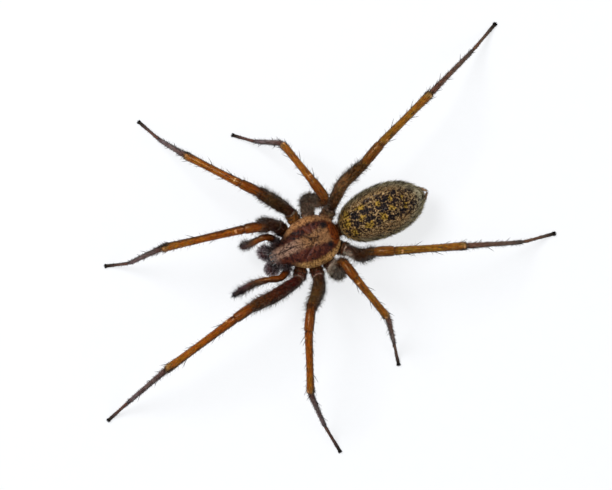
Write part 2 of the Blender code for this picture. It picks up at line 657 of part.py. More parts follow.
def leg(side, sign, pair, parent):
    """One leg in five lengths that meet face to face across narrow gaps."""
    course = leg_course(side, sign, pair)
    stations = course[2]
    coxa_thick, femur_thick, shin_thick = LEG_ROOTS[pair][2]
    name = f"leg_{side}_{pair}"
    limb = anchor(name, tuple(course[0][0]), parent)
    joint, knee, patella_end, ankle, toe = (stations[k] for k in (1, 3, 4, 5, 6))
    knee_part = (patella_end - knee) / (ankle - knee)
    lengths = (
        ("coxa", 0.0, joint - GAP / 2, lambda t: coxa_thick * value_at(COXA_RADII, t), 6),
        ("femur", joint + GAP / 2, knee - GAP / 2, lambda t: femur_thick * value_at(FEMUR_RADII, t), 9),
        ("tibia", knee + GAP / 2, ankle - GAP / 2, shin_radius(knee_part, shin_thick), 11),
        ("metatarsus", ankle + GAP / 2, toe - GAP / 2, lambda t: shin_thick * value_at(METATARSUS_RADII, t), 6),
        ("tarsus", toe + GAP / 2, stations[-1], lambda t: shin_thick * value_at(TARSUS_RADII, t), 8),
    )
    draw = random.Random(SPINE_SEED + 10 * pair + (side == "left"))
    for kind, start, end, radius_at, rows in lengths:
        piece = tube(f"{name}_{kind}", course, start, end, radius_at, rows, LEG_SIDES)
        if kind == "tarsus":
            set_on_floor(piece)
            claws_on(piece, course)
        if kind in SPINES:
            spines_on(piece, kind, course, start, end, radius_at, draw)
        place(piece, limb, tuple(point_on(course, start)), kind)


def set_on_floor(piece):
    """Presses the foot's lowest points flat on the floor."""
    for vertex in piece.data.vertices:
        if vertex.co.z < FOOT_FLAT_BELOW * MM:
            vertex.co.z = 0.0


def centre_on_floor(spider):
    """Moves the spider so that the origin lies below the middle of its box."""
    bpy.context.view_layer.update()
    corners = []
    for piece in bpy.context.scene.objects:
        if piece.type == "MESH":
            corners += [piece.matrix_world @ vertex.co for vertex in piece.data.vertices]
    for axis in (0, 1):
        places = [corner[axis] for corner in corners]
        spider.location[axis] = -0.5 * (min(places) + max(places))


def build():
    for thing in list(bpy.data.objects):
        bpy.data.objects.remove(thing)
    spider = anchor("spider", (0.0, 0.0, 0.0))
    carapace = carapace_solid("carapace")
    eyes_on(carapace, spider)
    place(carapace, spider, (0.0, -3.4, 3.9), "carapace")
    sternum(spider)
    pedicel(spider)
    place(abdomen_solid("abdomen"), spider, (0.0, ABDOMEN_FRONT, ABDOMEN_MIDDLE), "abdomen")
    spinnerets(spider)
    for side, sign in (("right", -1.0), ("left", 1.0)):
        chelicera(side, sign, spider)
        palp(side, sign, spider)
        for pair in LEG_ROOTS:
            leg(side, sign, pair, spider)
    centre_on_floor(spider)


build()
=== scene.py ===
"""The looks of a life-size tegenaria house spider: its chitin, hair, spines, eyes, and the studio.

Shapes are worked out in millimetres in the spider's own frame, where X = 0 is the body's middle line,
Y = 0 is the waist, Z = 0 is the floor and the head points to -Y, and are set on the frame at the end.
"""

import math
import random
from collections import namedtuple

import bpy
import numpy as np
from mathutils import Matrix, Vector


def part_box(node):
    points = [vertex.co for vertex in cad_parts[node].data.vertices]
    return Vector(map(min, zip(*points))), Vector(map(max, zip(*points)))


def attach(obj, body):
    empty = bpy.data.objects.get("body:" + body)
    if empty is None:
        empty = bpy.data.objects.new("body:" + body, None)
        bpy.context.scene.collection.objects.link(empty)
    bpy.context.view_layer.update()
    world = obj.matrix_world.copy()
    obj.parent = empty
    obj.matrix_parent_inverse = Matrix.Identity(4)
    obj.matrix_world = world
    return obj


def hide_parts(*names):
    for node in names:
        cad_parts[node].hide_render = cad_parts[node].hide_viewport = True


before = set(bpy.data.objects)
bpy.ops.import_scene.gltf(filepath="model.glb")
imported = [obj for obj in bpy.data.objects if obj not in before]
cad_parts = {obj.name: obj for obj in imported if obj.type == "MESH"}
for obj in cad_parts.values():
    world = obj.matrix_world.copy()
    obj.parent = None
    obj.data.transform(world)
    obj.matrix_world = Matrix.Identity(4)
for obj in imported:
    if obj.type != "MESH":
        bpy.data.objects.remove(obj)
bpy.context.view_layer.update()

MM = 0.001
SIDES = (("right", -1.0), ("left", 1.0))

# The spider's own frame is found from the carapace, whose front edge lies this far before the waist.
CARAPACE_FRONT = -6.7
CARAPACE_REAR = -0.1
SHIELD_LOW, SHIELD_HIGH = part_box("carapace")
ORIGIN = np.array((0.5 * (SHIELD_LOW[0] + SHIELD_HIGH[0]), SHIELD_LOW[1] - CARAPACE_FRONT * MM, 0.0))

# How far each skin lies below the solid that it stands for, to leave room for its coat.
COAT_DEPTH = 0.04
# Hair stays this far above the floor.
FLOOR_GAP = 0.004
# Each part's hair is drawn with a seed of its own.
HAIR_SEEDS = {"carapace": 7, "abdomen": 11, "waist": 17, "spinnerets": 23, "jaws": 31, "sternum": 43,
              "palps": 61, "legs": 100}
# A corner of a course is rounded in so many steps, and the rings of a limb lie this far apart.
BEND_STEPS = 12
RING_SPACING = 0.17

# Camera and studio. The photograph looks straight down on the spider, which lies turned in the frame.
PHOTO_WIDTH = 612
PIXELS_PER_MM = 11.0
CAMERA_HEIGHT = 254.0
CAMERA_SPOT = (0.07, -3.27)
CAMERA_TURN = 66.1
SENSOR = 36.0
FLOOR_SIZE = 1.2
FLOOR_GLOW = 0.73
AIR_GLOW = 0.4
# Name, place in metres, size in metres and watts of each lamp.
LAMPS = (("key_lamp", (-0.16, 0.13, 0.34), 0.17, 1.2), ("fill_lamp", (0.2, -0.05, 0.3), 0.2, 0.2))

# Carapace: rows of (part of its length, size).
CARAPACE_HALF_WIDTH = (
    (0.0, 0.7), (0.107, 0.92), (0.173, 1.12), (0.24, 1.38), (0.307, 1.67), (0.387, 2.0),
    (0.48, 2.25), (0.6, 2.34), (0.733, 2.27), (0.84, 2.0), (0.92, 1.6), (0.97, 1.15), (1.0, 0.55),
)
CARAPACE_TOP = (
    (0.0, 5.1), (0.06, 5.42), (0.2, 5.74), (0.36, 5.66), (0.6, 5.4), (0.8, 5.15), (0.92, 4.75), (1.0, 4.3),
)
CARAPACE_MARGIN = ((0.0, 4.42), (0.12, 4.2), (0.3, 3.92), (0.6, 3.86), (1.0, 3.94))
CARAPACE_SHOULDER = ((0.0, 3.0), (0.35, 2.6), (0.6, 2.2), (1.0, 2.2))
FOVEA = (-2.5, -1.8)
RAY_ANGLES = (0.5, 1.1, 1.65, 2.1)
EYE_CLEARANCE = 0.13
HEAD_MIDDLE = (0.0, -6.0, 4.76)
PALE_BAND = ((-6.7, 0.5), (-5.0, 0.5), (-3.3, 0.55), (-2.0, 0.66), (-1.0, 0.95), (0.0, 1.2))
# Its markings lie a little to one side. Marks are: middle across and along, half width, half length.
BAND_SHIFT = 0.17
CARAPACE_BLOTS = ((-0.94, -1.12, 0.44, 0.46), (0.88, -1.2, 0.44, 0.32))
CARAPACE_LINES = ((-0.19, -4.8, 0.075, 1.8), (-0.15, -2.1, 0.07, 0.5), (-0.24, -2.66, 0.24, 0.2))

# Abdomen.
ABDOMEN_FRONT = 0.1
ABDOMEN_REAR = 8.06
ABDOMEN_HALF_WIDTH = 2.28
ABDOMEN_MIDDLE = 4.15
ABDOMEN_UP = 2.12
ABDOMEN_DOWN = 1.85
ABDOMEN_DROOP = 0.5
ABDOMEN_FRONT_ROUNDNESS = 2.2
ABDOMEN_REAR_ROUNDNESS = 1.95
ABDOMEN_WIDER_BEHIND = 0.05
ABDOMEN_SWING = 0.12
ABDOMEN_PITS = (1.7, 3.0, 4.4, 5.7)
SHORT_HAIR_SHARE = ((-1.0, 0.8), (0.0, 1.0), (0.5, 0.9), (0.8, 0.5), (1.0, 0.45))
LUNG_MARKS = ((-0.85, 1.35, 0.42, 0.5), (0.85, 1.35, 0.42, 0.5))
WAIST_COURSE = ((0.0, -0.8, 3.3), (0.0, 0.0, 3.25), (0.0, 0.8, 3.3))

# Markings on the abdomen's back: middle across, middle along, half width, half length.
BLACK_MARKS = (
    (-0.55, 1.7, 0.24, 0.36), (0.26, 1.62, 0.26, 0.36), (-0.58, 2.85, 0.2, 0.6), (0.3, 3.0, 0.24, 0.5),
    (-0.2, 4.3, 0.42, 0.42), (-0.93, 4.8, 0.28, 0.36), (-1.3, 4.2, 0.24, 0.24), (-1.05, 5.75, 0.3, 0.32),
    (0.8, 3.5, 0.22, 0.24), (0.88, 4.7, 0.3, 0.26), (0.8, 5.9, 0.32, 0.4), (-0.3, 5.5, 0.3, 0.3),
    (-0.85, 7.0, 0.24, 0.36), (0.5, 6.95, 0.3, 0.26), (0.55, 0.6, 0.3, 0.18), (-1.35, 3.1, 0.16, 0.5),
)
YELLOW_MARKS = (
    (-0.7, 4.0, 0.34, 0.3), (0.56, 4.05, 0.34, 0.32), (0.76, 2.6, 0.3, 0.36), (-1.0, 2.4, 0.24, 0.44),
    (-0.72, 5.2, 0.22, 0.32), (-0.4, 6.25, 0.26, 0.22), (0.36, 6.25, 0.26, 0.2), (0.1, 5.05, 0.24, 0.24),
    (0.78, 1.15, 0.34, 0.26), (-0.95, 1.0, 0.36, 0.34), (-0.15, 0.9, 0.4, 0.34), (-0.1, 2.3, 0.2, 0.5),
)

# Spinnerets: two long jointed arms whose tips meet, a short stout pair below, on one mound.
SPINNERET_MOUND = (0.08, 7.74, 2.78)
SPINNERET_MOUND_RADII = (0.8, 0.56, 0.54)
SPINNERET_ARMS = (
    ((-0.5, 7.72, 2.55), (-0.46, 8.06, 2.7), (-0.18, 8.42, 2.92), (0.02, 8.62, 3.05)),
    ((0.66, 7.68, 2.55), (0.74, 7.98, 2.68), (0.42, 8.34, 2.9), (0.14, 8.6, 3.04)),
    ((-0.2, 7.8, 2.45), (-0.21, 8.07, 2.4), (-0.22, 8.34, 2.34)),
    ((0.36, 7.8, 2.45), (0.38, 8.07, 2.4), (0.4, 8.34, 2.34)),
)
SPINNERET_RADII = ((0.0, 0.2), (0.3, 0.2), (0.36, 0.16), (0.6, 0.16), (0.66, 0.13), (0.95, 0.09), (1.0, 0.05))

# Jaws, the left one; the right one is its mirror image. Height, middle across and along, half sizes.
JAW_ROWS = (
    (4.46, 0.68, -6.94, 0.3, 0.32), (4.34, 0.71, -6.92, 0.45, 0.49), (4.08, 0.75, -6.89, 0.58, 0.63),
    (3.72, 0.76, -6.87, 0.62, 0.66), (3.34, 0.75, -6.86, 0.6, 0.61), (3.0, 0.72, -6.86, 0.52, 0.5),
    (2.74, 0.67, -6.87, 0.41, 0.38), (2.6, 0.63, -6.87, 0.27, 0.25),
)
FANG_COURSE = ((0.64, -6.98, 2.9), (0.52, -7.1, 2.45), (0.2, -6.85, 2.3))
FANG_RADII = ((0.0, 0.15), (0.5, 0.1), (1.0, 0.015))

# Sternum with the labium before it.
STERNUM_OUTLINE = ((-5.05, 0.8), (-4.6, 1.1), (-3.7, 1.3), (-2.7, 1.12), (-1.7, 0.66), (-0.95, 0.14))
STERNUM_TOP = 3.56
STERNUM_BOTTOM = 2.72
LABIUM_ROWS = ((-4.95, 0.28), (-5.25, 0.3), (-5.55, 0.27), (-5.7, 0.14))
LABIUM_HEIGHT = 3.02
STERNUM_MARKS = (
    (0.0, -3.6, 0.14, 1.3), (-0.75, -4.2, 0.16, 0.2), (0.75, -4.2, 0.16, 0.2), (-0.85, -3.3, 0.16, 0.2),
    (0.85, -3.3, 0.16, 0.2), (-0.6, -2.4, 0.14, 0.18), (0.6, -2.4, 0.14, 0.18),
)

# Palps. Corners: base in the maxilla, trochanter, end of the femur, patella, tibia, and the tip.
MAXILLA_COURSE = ((0.76, -5.4, 3.08), (0.66, -6.2, 2.92))
MAXILLA_RADII = ((0.0, 0.18), (0.4, 0.28), (0.8, 0.25), (1.0, 0.1))
PALPS = {
    "right": ((-0.8, -5.55, 3.1), (-1.46, -5.6, 3.35), (-2.05, -6.2, 4.85), (-2.1, -6.96, 4.75),
              (-2.03, -7.82, 4.1), (-2.14, -8.64, 2.15)),
    "left": ((0.8, -5.55, 3.1), (1.5, -5.62, 3.35), (1.92, -6.62, 4.6), (1.53, -7.57, 4.95),
             (1.33, -8.88, 4.15), (1.58, -11.14, 2.6)),
}
PALP_BEND = 0.45
PALP_RADII = (
    ((0.0, 0.2), (0.5, 0.27), (0.9, 0.27), (1.0, 0.22)),
    ((0.0, 0.22), (0.15, 0.29), (0.6, 0.32), (0.95, 0.3), (1.0, 0.24)),
    ((0.0, 0.25), (0.2, 0.3), (0.8, 0.29), (1.0, 0.24)),
    ((0.0, 0.24), (0.2, 0.3), (0.8, 0.3), (1.0, 0.25)),
    ((0.0, 0.25), (0.15, 0.3), (0.6, 0.27), (0.88, 0.18), (0.97, 0.1), (1.0, 0.04)),
)

# Legs, first to fourth pair: coxa root and trochanter joint of the left leg, and how thick the coxa,
# the femur and the rest of the leg are.
LEG_ROOTS = {
    1: ((1.42, -4.42, 3.1), (2.66, -5.0, 3.35), (1.1, 1.0, 1.0)),
    2: ((1.65, -3.3, 3.1), (3.25, -3.36, 3.35), (1.06, 1.0, 0.98)),
    3: ((1.55, -2.25, 3.1), (3.1, -1.8, 3.35), (1.06, 1.06, 0.94)),
    4: ((0.95, -1.35, 3.1), (2.02, 0.06, 3.35), (1.12, 0.94, 1.0)),
}
# Corners of each leg: middle of the femur, knee, end of the patella, ankle, start of the tarsus, tip.
LEGS = {
    "right_1": ((-3.09, -5.94, 6.9), (-3.0, -6.16, 10.2), (-3.37, -7.57, 10.3),
                (-4.84, -15.11, 7.6), (-4.89, -18.55, 1.7), (-5.58, -20.78, 0.17)),
    "left_1": ((3.09, -7.47, 6.2), (3.15, -9.92, 8.6), (3.48, -11.56, 8.9),
               (5.19, -19.14, 6.8), (6.58, -23.75, 1.7), (7.39, -26.22, 0.17)),
    "right_2": ((-4.68, -4.31, 6.4), (-5.85, -5.16, 8.7), (-7.2, -6.34, 8.9),
                (-11.58, -9.87, 7.1), (-14.03, -11.55, 1.7), (-16.37, -12.66, 0.17)),
    "left_2": ((4.26, -3.92, 6.4), (5.42, -5.17, 8.9), (7.1, -6.13, 9.2),
               (12.27, -8.22, 7.0), (15.68, -8.35, 1.7), (18.56, -8.03, 0.17)),
    "right_3": ((-3.49, -1.6, 6.3), (-2.77, 0.02, 8.7), (-4.91, -0.48, 9.0),
                (-9.01, -1.55, 7.0), (-10.31, -3.67, 1.6), (-11.81, -5.38, 0.17)),
    "left_3": ((3.54, -1.71, 6.3), (2.67, -0.9, 8.8), (4.49, -0.46, 9.1),
               (8.87, 0.74, 7.0), (11.36, 0.42, 1.6), (13.5, 0.0, 0.17)),
    "right_4": ((-3.6, 1.86, 6.3), (-4.46, 4.42, 8.6), (-5.39, 6.29, 8.9),
                (-7.75, 12.3, 7.1), (-9.9, 17.64, 1.7), (-11.37, 20.67, 0.17)),
    "left_4": ((2.98, 0.79, 6.6), (3.04, 2.02, 9.5), (3.68, 3.58, 9.7),
               (5.9, 9.7, 7.3), (7.78, 14.75, 1.7), (8.28, 17.89, 0.17)),
}
FOOT_LENGTH = 0.66
LEG_BEND = 0.8
LEG_SIDES = 28
CLAW_SPREAD = 0.13
CLAW_PAST_TIP = 0.05
FOOT_END = 0.11
CLAW_TIP_HEIGHT = 0.03
CLAW_RADII = ((0.0, 0.07), (0.5, 0.055), (1.0, 0.01))

# Radius along each joint of a leg, from its start (0) to its end (1).
JOINT_RADII = {
    "coxa": ((0.0, 0.34), (0.35, 0.52), (0.6, 0.6), (0.7, 0.5), (0.77, 0.58), (0.93, 0.55), (1.0, 0.42)),
    "femur": ((0.0, 0.37), (0.03, 0.45), (0.12, 0.48), (0.45, 0.55), (0.75, 0.52), (0.96, 0.46), (1.0, 0.4)),
    "patella": ((0.0, 0.4), (0.1, 0.44), (0.5, 0.46), (0.85, 0.45), (0.95, 0.43), (1.0, 0.38)),
    "tibia": ((0.0, 0.36), (0.03, 0.39), (0.15, 0.37), (0.5, 0.335), (0.8, 0.35), (0.93, 0.375),
              (0.985, 0.35), (1.0, 0.24)),
    "metatarsus": ((0.0, 0.18), (0.025, 0.25), (0.1, 0.24), (0.5, 0.195), (0.93, 0.18), (1.0, 0.14)),
    "tarsus": ((0.0, 0.12), (0.05, 0.15), (0.4, 0.135), (0.85, 0.16), (0.97, 0.155), (1.0, 0.1)),
}
JOINTS = tuple(JOINT_RADII)

# Leg spines: part of the length, turn around the leg from its upper side in degrees, and length.
# The first ones stand where the solids have theirs, so they are drawn with the same seeds.
SPINES = {
    "femur": ((0.34, 0.0, 1.1), (0.6, -60.0, 1.2), (0.66, 60.0, 1.2)),
    "tibia": ((0.3, 75.0, 1.25), (0.42, -75.0, 1.25), (0.64, 110.0, 1.3), (0.74, -110.0, 1.3)),
    "metatarsus": ((0.2, -100.0, 1.2), (0.34, 100.0, 1.2), (0.6, 150.0, 1.2), (0.72, -90.0, 1.1)),
}
MORE_SPINES = {
    "femur": ((0.9, 35.0, 0.7), (0.9, -40.0, 0.7)),
    "patella": ((0.3, 10.0, 0.6), (0.9, 0.0, 0.8)),
    "tibia": ((0.12, 20.0, 0.9), (0.9, 60.0, 1.0), (0.92, -70.0, 1.0), (0.55, 10.0, 0.9)),
    "metatarsus": ((0.06, 60.0, 1.0), (0.08, -60.0, 1.0), (0.48, -30.0, 0.9), (0.93, 80.0, 0.7),
                   (0.93, -80.0, 0.7)),
}
SPINE_LEAN = 31.0
SPINE_SHARE = 0.86
SPINE_SEED = 41
SPINE_RADIUS = 0.036
SPINE_CURL = 8.0
SPINE_GAP = 0.15

# Leg hair by joint number: how dense it is and how long, lying hair first, then upright hair. The third
# pair has more of the upright hair.
FLAT_HAIR_SHARE = ((0.0, 0.55), (0.9, 0.7), (1.1, 1.0), (1.8, 0.9), (2.1, 0.3), (3.1, 0.28), (3.7, 0.4),
                   (4.1, 1.0), (5.0, 1.0), (6.0, 1.0))
FLAT_HAIR_LENGTH = ((0.0, 0.28), (1.2, 0.42), (1.8, 0.4), (2.4, 0.26), (3.6, 0.3), (4.2, 0.36), (5.0, 0.3),
                    (5.6, 0.22), (6.0, 0.16))
WILD_HAIR_SHARE = ((0.0, 0.2), (1.0, 0.35), (1.5, 0.65), (1.95, 0.8), (2.15, 0.14), (3.8, 0.1), (4.1, 0.6),
                   (4.9, 0.5), (5.2, 0.2), (6.0, 0.25))
WILD_HAIR_LENGTH = ((0.0, 0.4), (1.5, 0.6), (2.5, 0.46), (3.7, 0.5), (4.2, 0.32), (5.2, 0.26), (6.0, 0.18))
SHAGGY = {3: 1.7}
FOOT_TUFT_START = 5.93
# Where, in joint numbers, a highlight is painted on the tibia near each of its ends.
TIBIA_PAINTED_GLINTS = (3.09, 3.945)

# Palp hair in the same way, how far the lying hair lifts, and where bristles, tuft and beard grow.
PALP_HAIR_SHARE = ((0.0, 0.4), (3.0, 0.5), (4.0, 1.0), (5.0, 1.0))
PALP_HAIR_LENGTH = ((0.0, 0.2), (3.0, 0.25), (4.2, 0.42), (5.0, 0.3))
PALP_HAIR_LIFT = ((0.0, 15.0), (3.0, 25.0), (4.2, 45.0), (5.0, 50.0))
PALP_BRISTLE_SHARE = ((0.0, 0.0), (1.6, 0.12), (4.0, 0.3), (4.6, 1.0), (5.0, 1.0))
PALP_BEARD_SHARE = ((0.0, 1.0), (1.1, 1.0), (1.5, 0.0), (5.0, 0.0))
PALP_TUFT_START = 4.8

# Kinds of hair: how many stand on a square millimetre, how far they are stirred, between which values
# their length, their lift from the skin and their curl back to it lie, and their radius. The lengths of
# leg_flat, leg_wild, abdomen_short and palp_flat, and the lifts of palp_flat, are shares of a place's own.
HAIR = {
    "leg_flat": (85.0, 0.22, (0.7, 1.25), (8.0, 26.0), (0.0, 14.0), 0.014),
    "leg_wild": (60.0, 0.25, (0.5, 1.2), (38.0, 72.0), (0.0, 20.0), 0.013),
    "foot_tuft": (800.0, 0.2, (0.16, 0.3), (5.0, 40.0), (0.0, 30.0), 0.014),
    "shield_short": (72.0, 0.3, (0.1, 0.24), (6.0, 22.0), (0.0, 10.0), 0.013),
    "face": (110.0, 0.4, (0.2, 0.42), (20.0, 60.0), (10.0, 50.0), 0.013),
    "cheek": (230.0, 0.5, (0.4, 1.0), (20.0, 75.0), (0.0, 30.0), 0.018),
    "head_edge": (80.0, 0.4, (0.2, 0.45), (25.0, 50.0), (20.0, 60.0), 0.014),
    "shield_tall": (3.0, 0.4, (0.3, 0.5), (45.0, 75.0), (0.0, 15.0), 0.014),
    "abdomen_short": (125.0, 0.28, (0.7, 1.3), (7.0, 24.0), (0.0, 16.0), (0.013, 0.019)),
    "abdomen_tall": (14.0, 0.3, (0.35, 0.6), (28.0, 60.0), (0.0, 25.0), 0.014),
    "waist": (260.0, 0.5, (0.3, 0.8), (45.0, 88.0), (0.0, 30.0), 0.018),
    "spinneret_mound": (110.0, 0.3, (0.12, 0.3), (10.0, 40.0), (0.0, 15.0), 0.014),
    "spinneret_arm": (120.0, 0.3, (0.12, 0.3), (10.0, 40.0), (0.0, 15.0), 0.014),
    "jaw": (150.0, 0.35, (0.18, 0.46), (20.0, 75.0), (0.0, 30.0), 0.018),
    "sternum": (60.0, 0.4, (0.12, 0.26), (20.0, 50.0), (0.0, 15.0), 0.012),
    "palp_flat": (110.0, 0.3, (0.6, 1.4), (0.6, 1.3), (0.0, 20.0), 0.012),
    "palp_tall": (60.0, 0.3, (0.35, 0.75), (45.0, 85.0), (0.0, 15.0), 0.013),
    "palp_tip": (420.0, 0.3, (0.12, 0.26), (25.0, 80.0), (0.0, 30.0), 0.014),
    "palp_root": (130.0, 0.6, (0.3, 0.75), (25.0, 75.0), (0.0, 30.0), 0.016),
    "maxilla": (150.0, 0.6, (0.3, 0.75), (25.0, 75.0), (0.0, 30.0), 0.016),
}

# Colours along a limb, by joint number and part of the joint: the first legs, the last legs, the palps.
FRONT_LEG_TONES = (
    (0.0, (74, 34, 14)), (0.62, (84, 40, 18)), (0.7, (34, 16, 10)), (0.8, (66, 26, 16)),
    (0.96, (66, 26, 16)), (1.0, (196, 158, 138)), (1.035, (74, 21, 16)), (1.3, (74, 21, 16)),
    (1.6, (78, 32, 14)), (1.88, (86, 42, 12)), (1.98, (74, 36, 10)), (2.04, (98, 45, 8)),
    (2.4, (110, 50, 6)), (2.94, (108, 51, 6)), (2.99, (84, 38, 6)), (3.04, (126, 60, 8)),
    (3.4, (136, 66, 6)), (3.88, (134, 72, 14)), (3.945, (136, 92, 44)), (3.985, (36, 18, 16)),
    (4.03, (92, 56, 52)), (4.4, (100, 74, 70)), (4.86, (102, 76, 78)), (4.96, (44, 32, 36)),
    (5.04, (100, 60, 50)), (5.5, (84, 54, 48)), (5.8, (58, 42, 42)), (5.9, (26, 20, 20)),
    (6.0, (18, 14, 14)),
)
HIND_LEG_TONES = (
    (0.0, (108, 70, 38)), (0.62, (116, 76, 44)), (0.7, (52, 32, 20)), (0.8, (96, 62, 36)),
    (0.96, (80, 50, 28)), (1.0, (196, 164, 140)), (1.035, (66, 40, 22)), (1.3, (70, 44, 22)),
    (1.6, (76, 46, 20)), (1.88, (88, 52, 16)), (1.98, (72, 42, 14)), (2.04, (96, 51, 13)),
    (2.5, (102, 54, 11)), (2.94, (104, 57, 13)), (2.99, (82, 45, 12)), (3.04, (122, 74, 18)),
    (3.4, (132, 82, 16)), (3.88, (132, 76, 20)), (3.945, (134, 92, 46)), (3.985, (42, 26, 18)),
    (4.03, (112, 68, 52)), (4.4, (104, 68, 52)), (4.7, (102, 74, 62)), (4.96, (60, 46, 42)),
    (5.04, (108, 70, 52)), (5.5, (92, 66, 54)), (5.8, (66, 50, 44)), (5.9, (30, 24, 22)),
    (6.0, (20, 16, 16)),
)
PALP_TONES = (
    (0.0, (70, 26, 12)), (1.0, (98, 40, 12)), (2.0, (116, 54, 14)), (3.0, (112, 56, 18)),
    (3.9, (86, 48, 26)), (4.3, (78, 44, 46)), (4.75, (64, 46, 52)), (5.0, (46, 46, 54)),
)

# Stretches of single legs with a tone of their own: from and to across, along, and in joint numbers, then
# how much of the tone. They are the third pair, the second pair's femora, then parts of other legs.
LEG_PATCHES = (
    ((-6.0, -2.1), (-2.85, 0.15), (-1.0, 1.9), 0.75, (124, 98, 80)),
    # Partly painted light: the left third leg's pale tone is its own speckled grey, made lighter to offset
    # the lamps' shade on that side.
    ((2.1, 6.0), (-2.85, 0.15), (0.95, 1.9), 0.8, (190, 164, 144)),
    ((-8.0, 8.0), (-5.1, -3.25), (1.05, 1.9), 0.5, (92, 66, 30)),
    ((-9.0, -0.5), (-4.05, -2.9), (-1.0, 0.95), 0.5, (150, 92, 34)),
    ((-3.0, -1.0), (-1.45, 0.4), (-1.0, 0.95), 0.5, (190, 140, 100)),
    ((-6.0, -1.9), (0.35, 5.0), (1.05, 1.7), 0.45, (150, 100, 60)),
    ((1.9, 4.5), (0.3, 3.0), (1.05, 1.95), 0.5, (40, 16, 12)),
)


def tone(red, green, blue, strength=0.86):
    """A colour as a screen shows it, 0 to 255, turned into the light that a surface gives back."""
    shares = [c / 255.0 for c in (red, green, blue)]
    light = [c / 12.92 if c <= 0.04045 else ((c + 0.055) / 1.055) ** 2.4 for c in shares]
    return (*[c * strength for c in light], 1.0)


def columns(*values):
    """Values side by side, each a single number or one for every row."""
    return np.stack(np.broadcast_arrays(*values), axis=-1)


def around(sides, shift=0.0):
    """Cosine and sine of the turns to the points of a ring."""
    turns = 2 * math.pi * (np.arange(sides) + shift) / sides
    return np.cos(turns), np.sin(turns)


def mirrored(points, sign):
    return [(sign * x, y, z) for x, y, z in points]


def curve(rows, places):
    """Reads a smooth curve without overshoot through rows of (place, value) at one or many places."""
    x, y = np.array(rows, float).T
    gaps = np.diff(x)
    rises = np.diff(y) / gaps
    product = rises[:-1] * rises[1:]
    total = np.where(product > 0, rises[:-1] + rises[1:], 1.0)
    slopes = np.concatenate([rises[:1], np.where(product > 0, 2 * product / total, 0.0), rises[-1:]])
    places = np.clip(places, x[0], x[-1])
    i = np.clip(np.searchsorted(x, places, side="right") - 1, 0, len(gaps) - 1)
    t = (places - x[i]) / gaps[i]
    start = (1 + 2 * t) * (1 - t) ** 2 * y[i] + t * (1 - t) ** 2 * gaps[i] * slopes[i]
    end = t * t * (3 - 2 * t) * y[i + 1] + t * t * (t - 1) * gaps[i] * slopes[i + 1]
    return start + end


def unit(vectors):
    return vectors / (np.linalg.norm(vectors, axis=-1, keepdims=True) + 1e-12)


def rounded_course(corners, reach):
    """Turns corners into close points on a curve, and says how far along it each corner lies."""
    corners = [np.array(c, float) for c in corners]
    points, marks = [corners[0]], [0]
    for before, corner, after in zip(corners, corners[1:], corners[2:]):
        ends = []
        for way in (before - corner, after - corner):
            length = np.linalg.norm(way)
            ends.append(corner + way / length * min(reach, 0.45 * length))
        marks.append(len(points) + BEND_STEPS // 2)
        for k in range(BEND_STEPS + 1):
            t = k / BEND_STEPS
            points.append((1 - t) ** 2 * ends[0] + 2 * t * (1 - t) * corner + t * t * ends[1])
    points = np.array([*points, corners[-1]])
    lengths = np.concatenate([[0.0], np.cumsum(np.linalg.norm(np.diff(points, axis=0), axis=1))])
    return points, lengths, [lengths[m] for m in (*marks, -1)]


def point_on(course, distance):
    points, lengths, _ = course
    return np.array([np.interp(distance, lengths, points[:, axis]) for axis in range(3)])


def frames_on(course, distances):
    """Centre, direction, upper side and its side at each distance, turning as little as possible."""
    step = 0.02 * course[1][-1]
    up = np.array((0.0, 0.0, 1.0))
    frames = []
    for distance in distances:
        ahead = point_on(course, min(distance + step, course[1][-1]))
        behind = point_on(course, max(distance - step, 0.0))
        along = (ahead - behind) / np.linalg.norm(ahead - behind)
        up = up - along * np.dot(up, along)
        up = up / np.linalg.norm(up)
        frames.append((point_on(course, distance), along, up, np.cross(along, up)))
    return frames


# Places on a skin: where they are, which way the skin faces and runs there, and what its finish reads.
Spots = namedtuple("Spots", "place normal ahead limb run uv kind", defaults=(None,))


class Skin:
    """Rings of points around a limb or plate, in millimetres, with what its finish reads from it.

    A point has seven values: its place, three that tell where on the limb it is, and how far along.
    """

    def __init__(self, rings):
        self.grid = np.array(rings, float)
        whole = self.at(*self.centres())
        middle = self.grid[:-1, :, :3].mean(axis=1)
        out = whole.place - np.repeat(middle, self.grid.shape[1], axis=0)
        if np.sum(out * whole.normal) < 0:
            self.grid = self.grid[:, ::-1]

    def centres(self):
        """The row and side of every patch between two rings, and half of its width and length."""
        rows, sides, _ = self.grid.shape
        row, side = np.divmod(np.arange((rows - 1) * sides), sides)
        half = np.full((len(row), 1), 0.5)
        return row, side, half, half

    def at(self, row, side, across, onward):
        """Values between the four corners of the patches that start at these rows and sides."""
        rows, sides, _ = self.grid.shape
        beside = (side + 1) % sides
        one, two, three, four = (self.grid[r, s] for r in (row, row + 1) for s in (side, beside))
        first = one * (1 - across) + two * across
        second = three * (1 - across) + four * across
        value = first * (1 - onward) + second * onward
        ahead = (three + four - one - two)[:, :3]
        aside = (two + four - one - three)[:, :3]
        uv = columns((side + across[:, 0]) / sides, (row + onward[:, 0]) / (rows - 1))
        return Spots(value[:, :3], unit(np.cross(aside, ahead)), unit(ahead), value[:, 3:6], value[:, 6], uv)

    def roots(self, kind, draw, share=None, more=1.0):
        """Random places for hairs of a kind, fewer where share is below 1."""
        row, side, half, _ = self.centres()
        points = self.grid[..., :3]
        beside = (side + 1) % points.shape[1]
        one = points[row + 1, beside] - points[row, side]
        other = points[row + 1, side] - points[row, beside]
        chance = 0.5 * np.linalg.norm(np.cross(one, other), axis=1)
        if share:
            chance = chance * np.clip(share(self.at(row, side, half, half)), 0.0, 1.0)
        picks = draw.choice(len(row), int(HAIR[kind][0] * more * chance.sum()), p=chance / chance.sum())
        across, onward = draw.random((2, len(picks), 1))
        return self.at(row[picks], side[picks], across, onward)._replace(kind=kind)


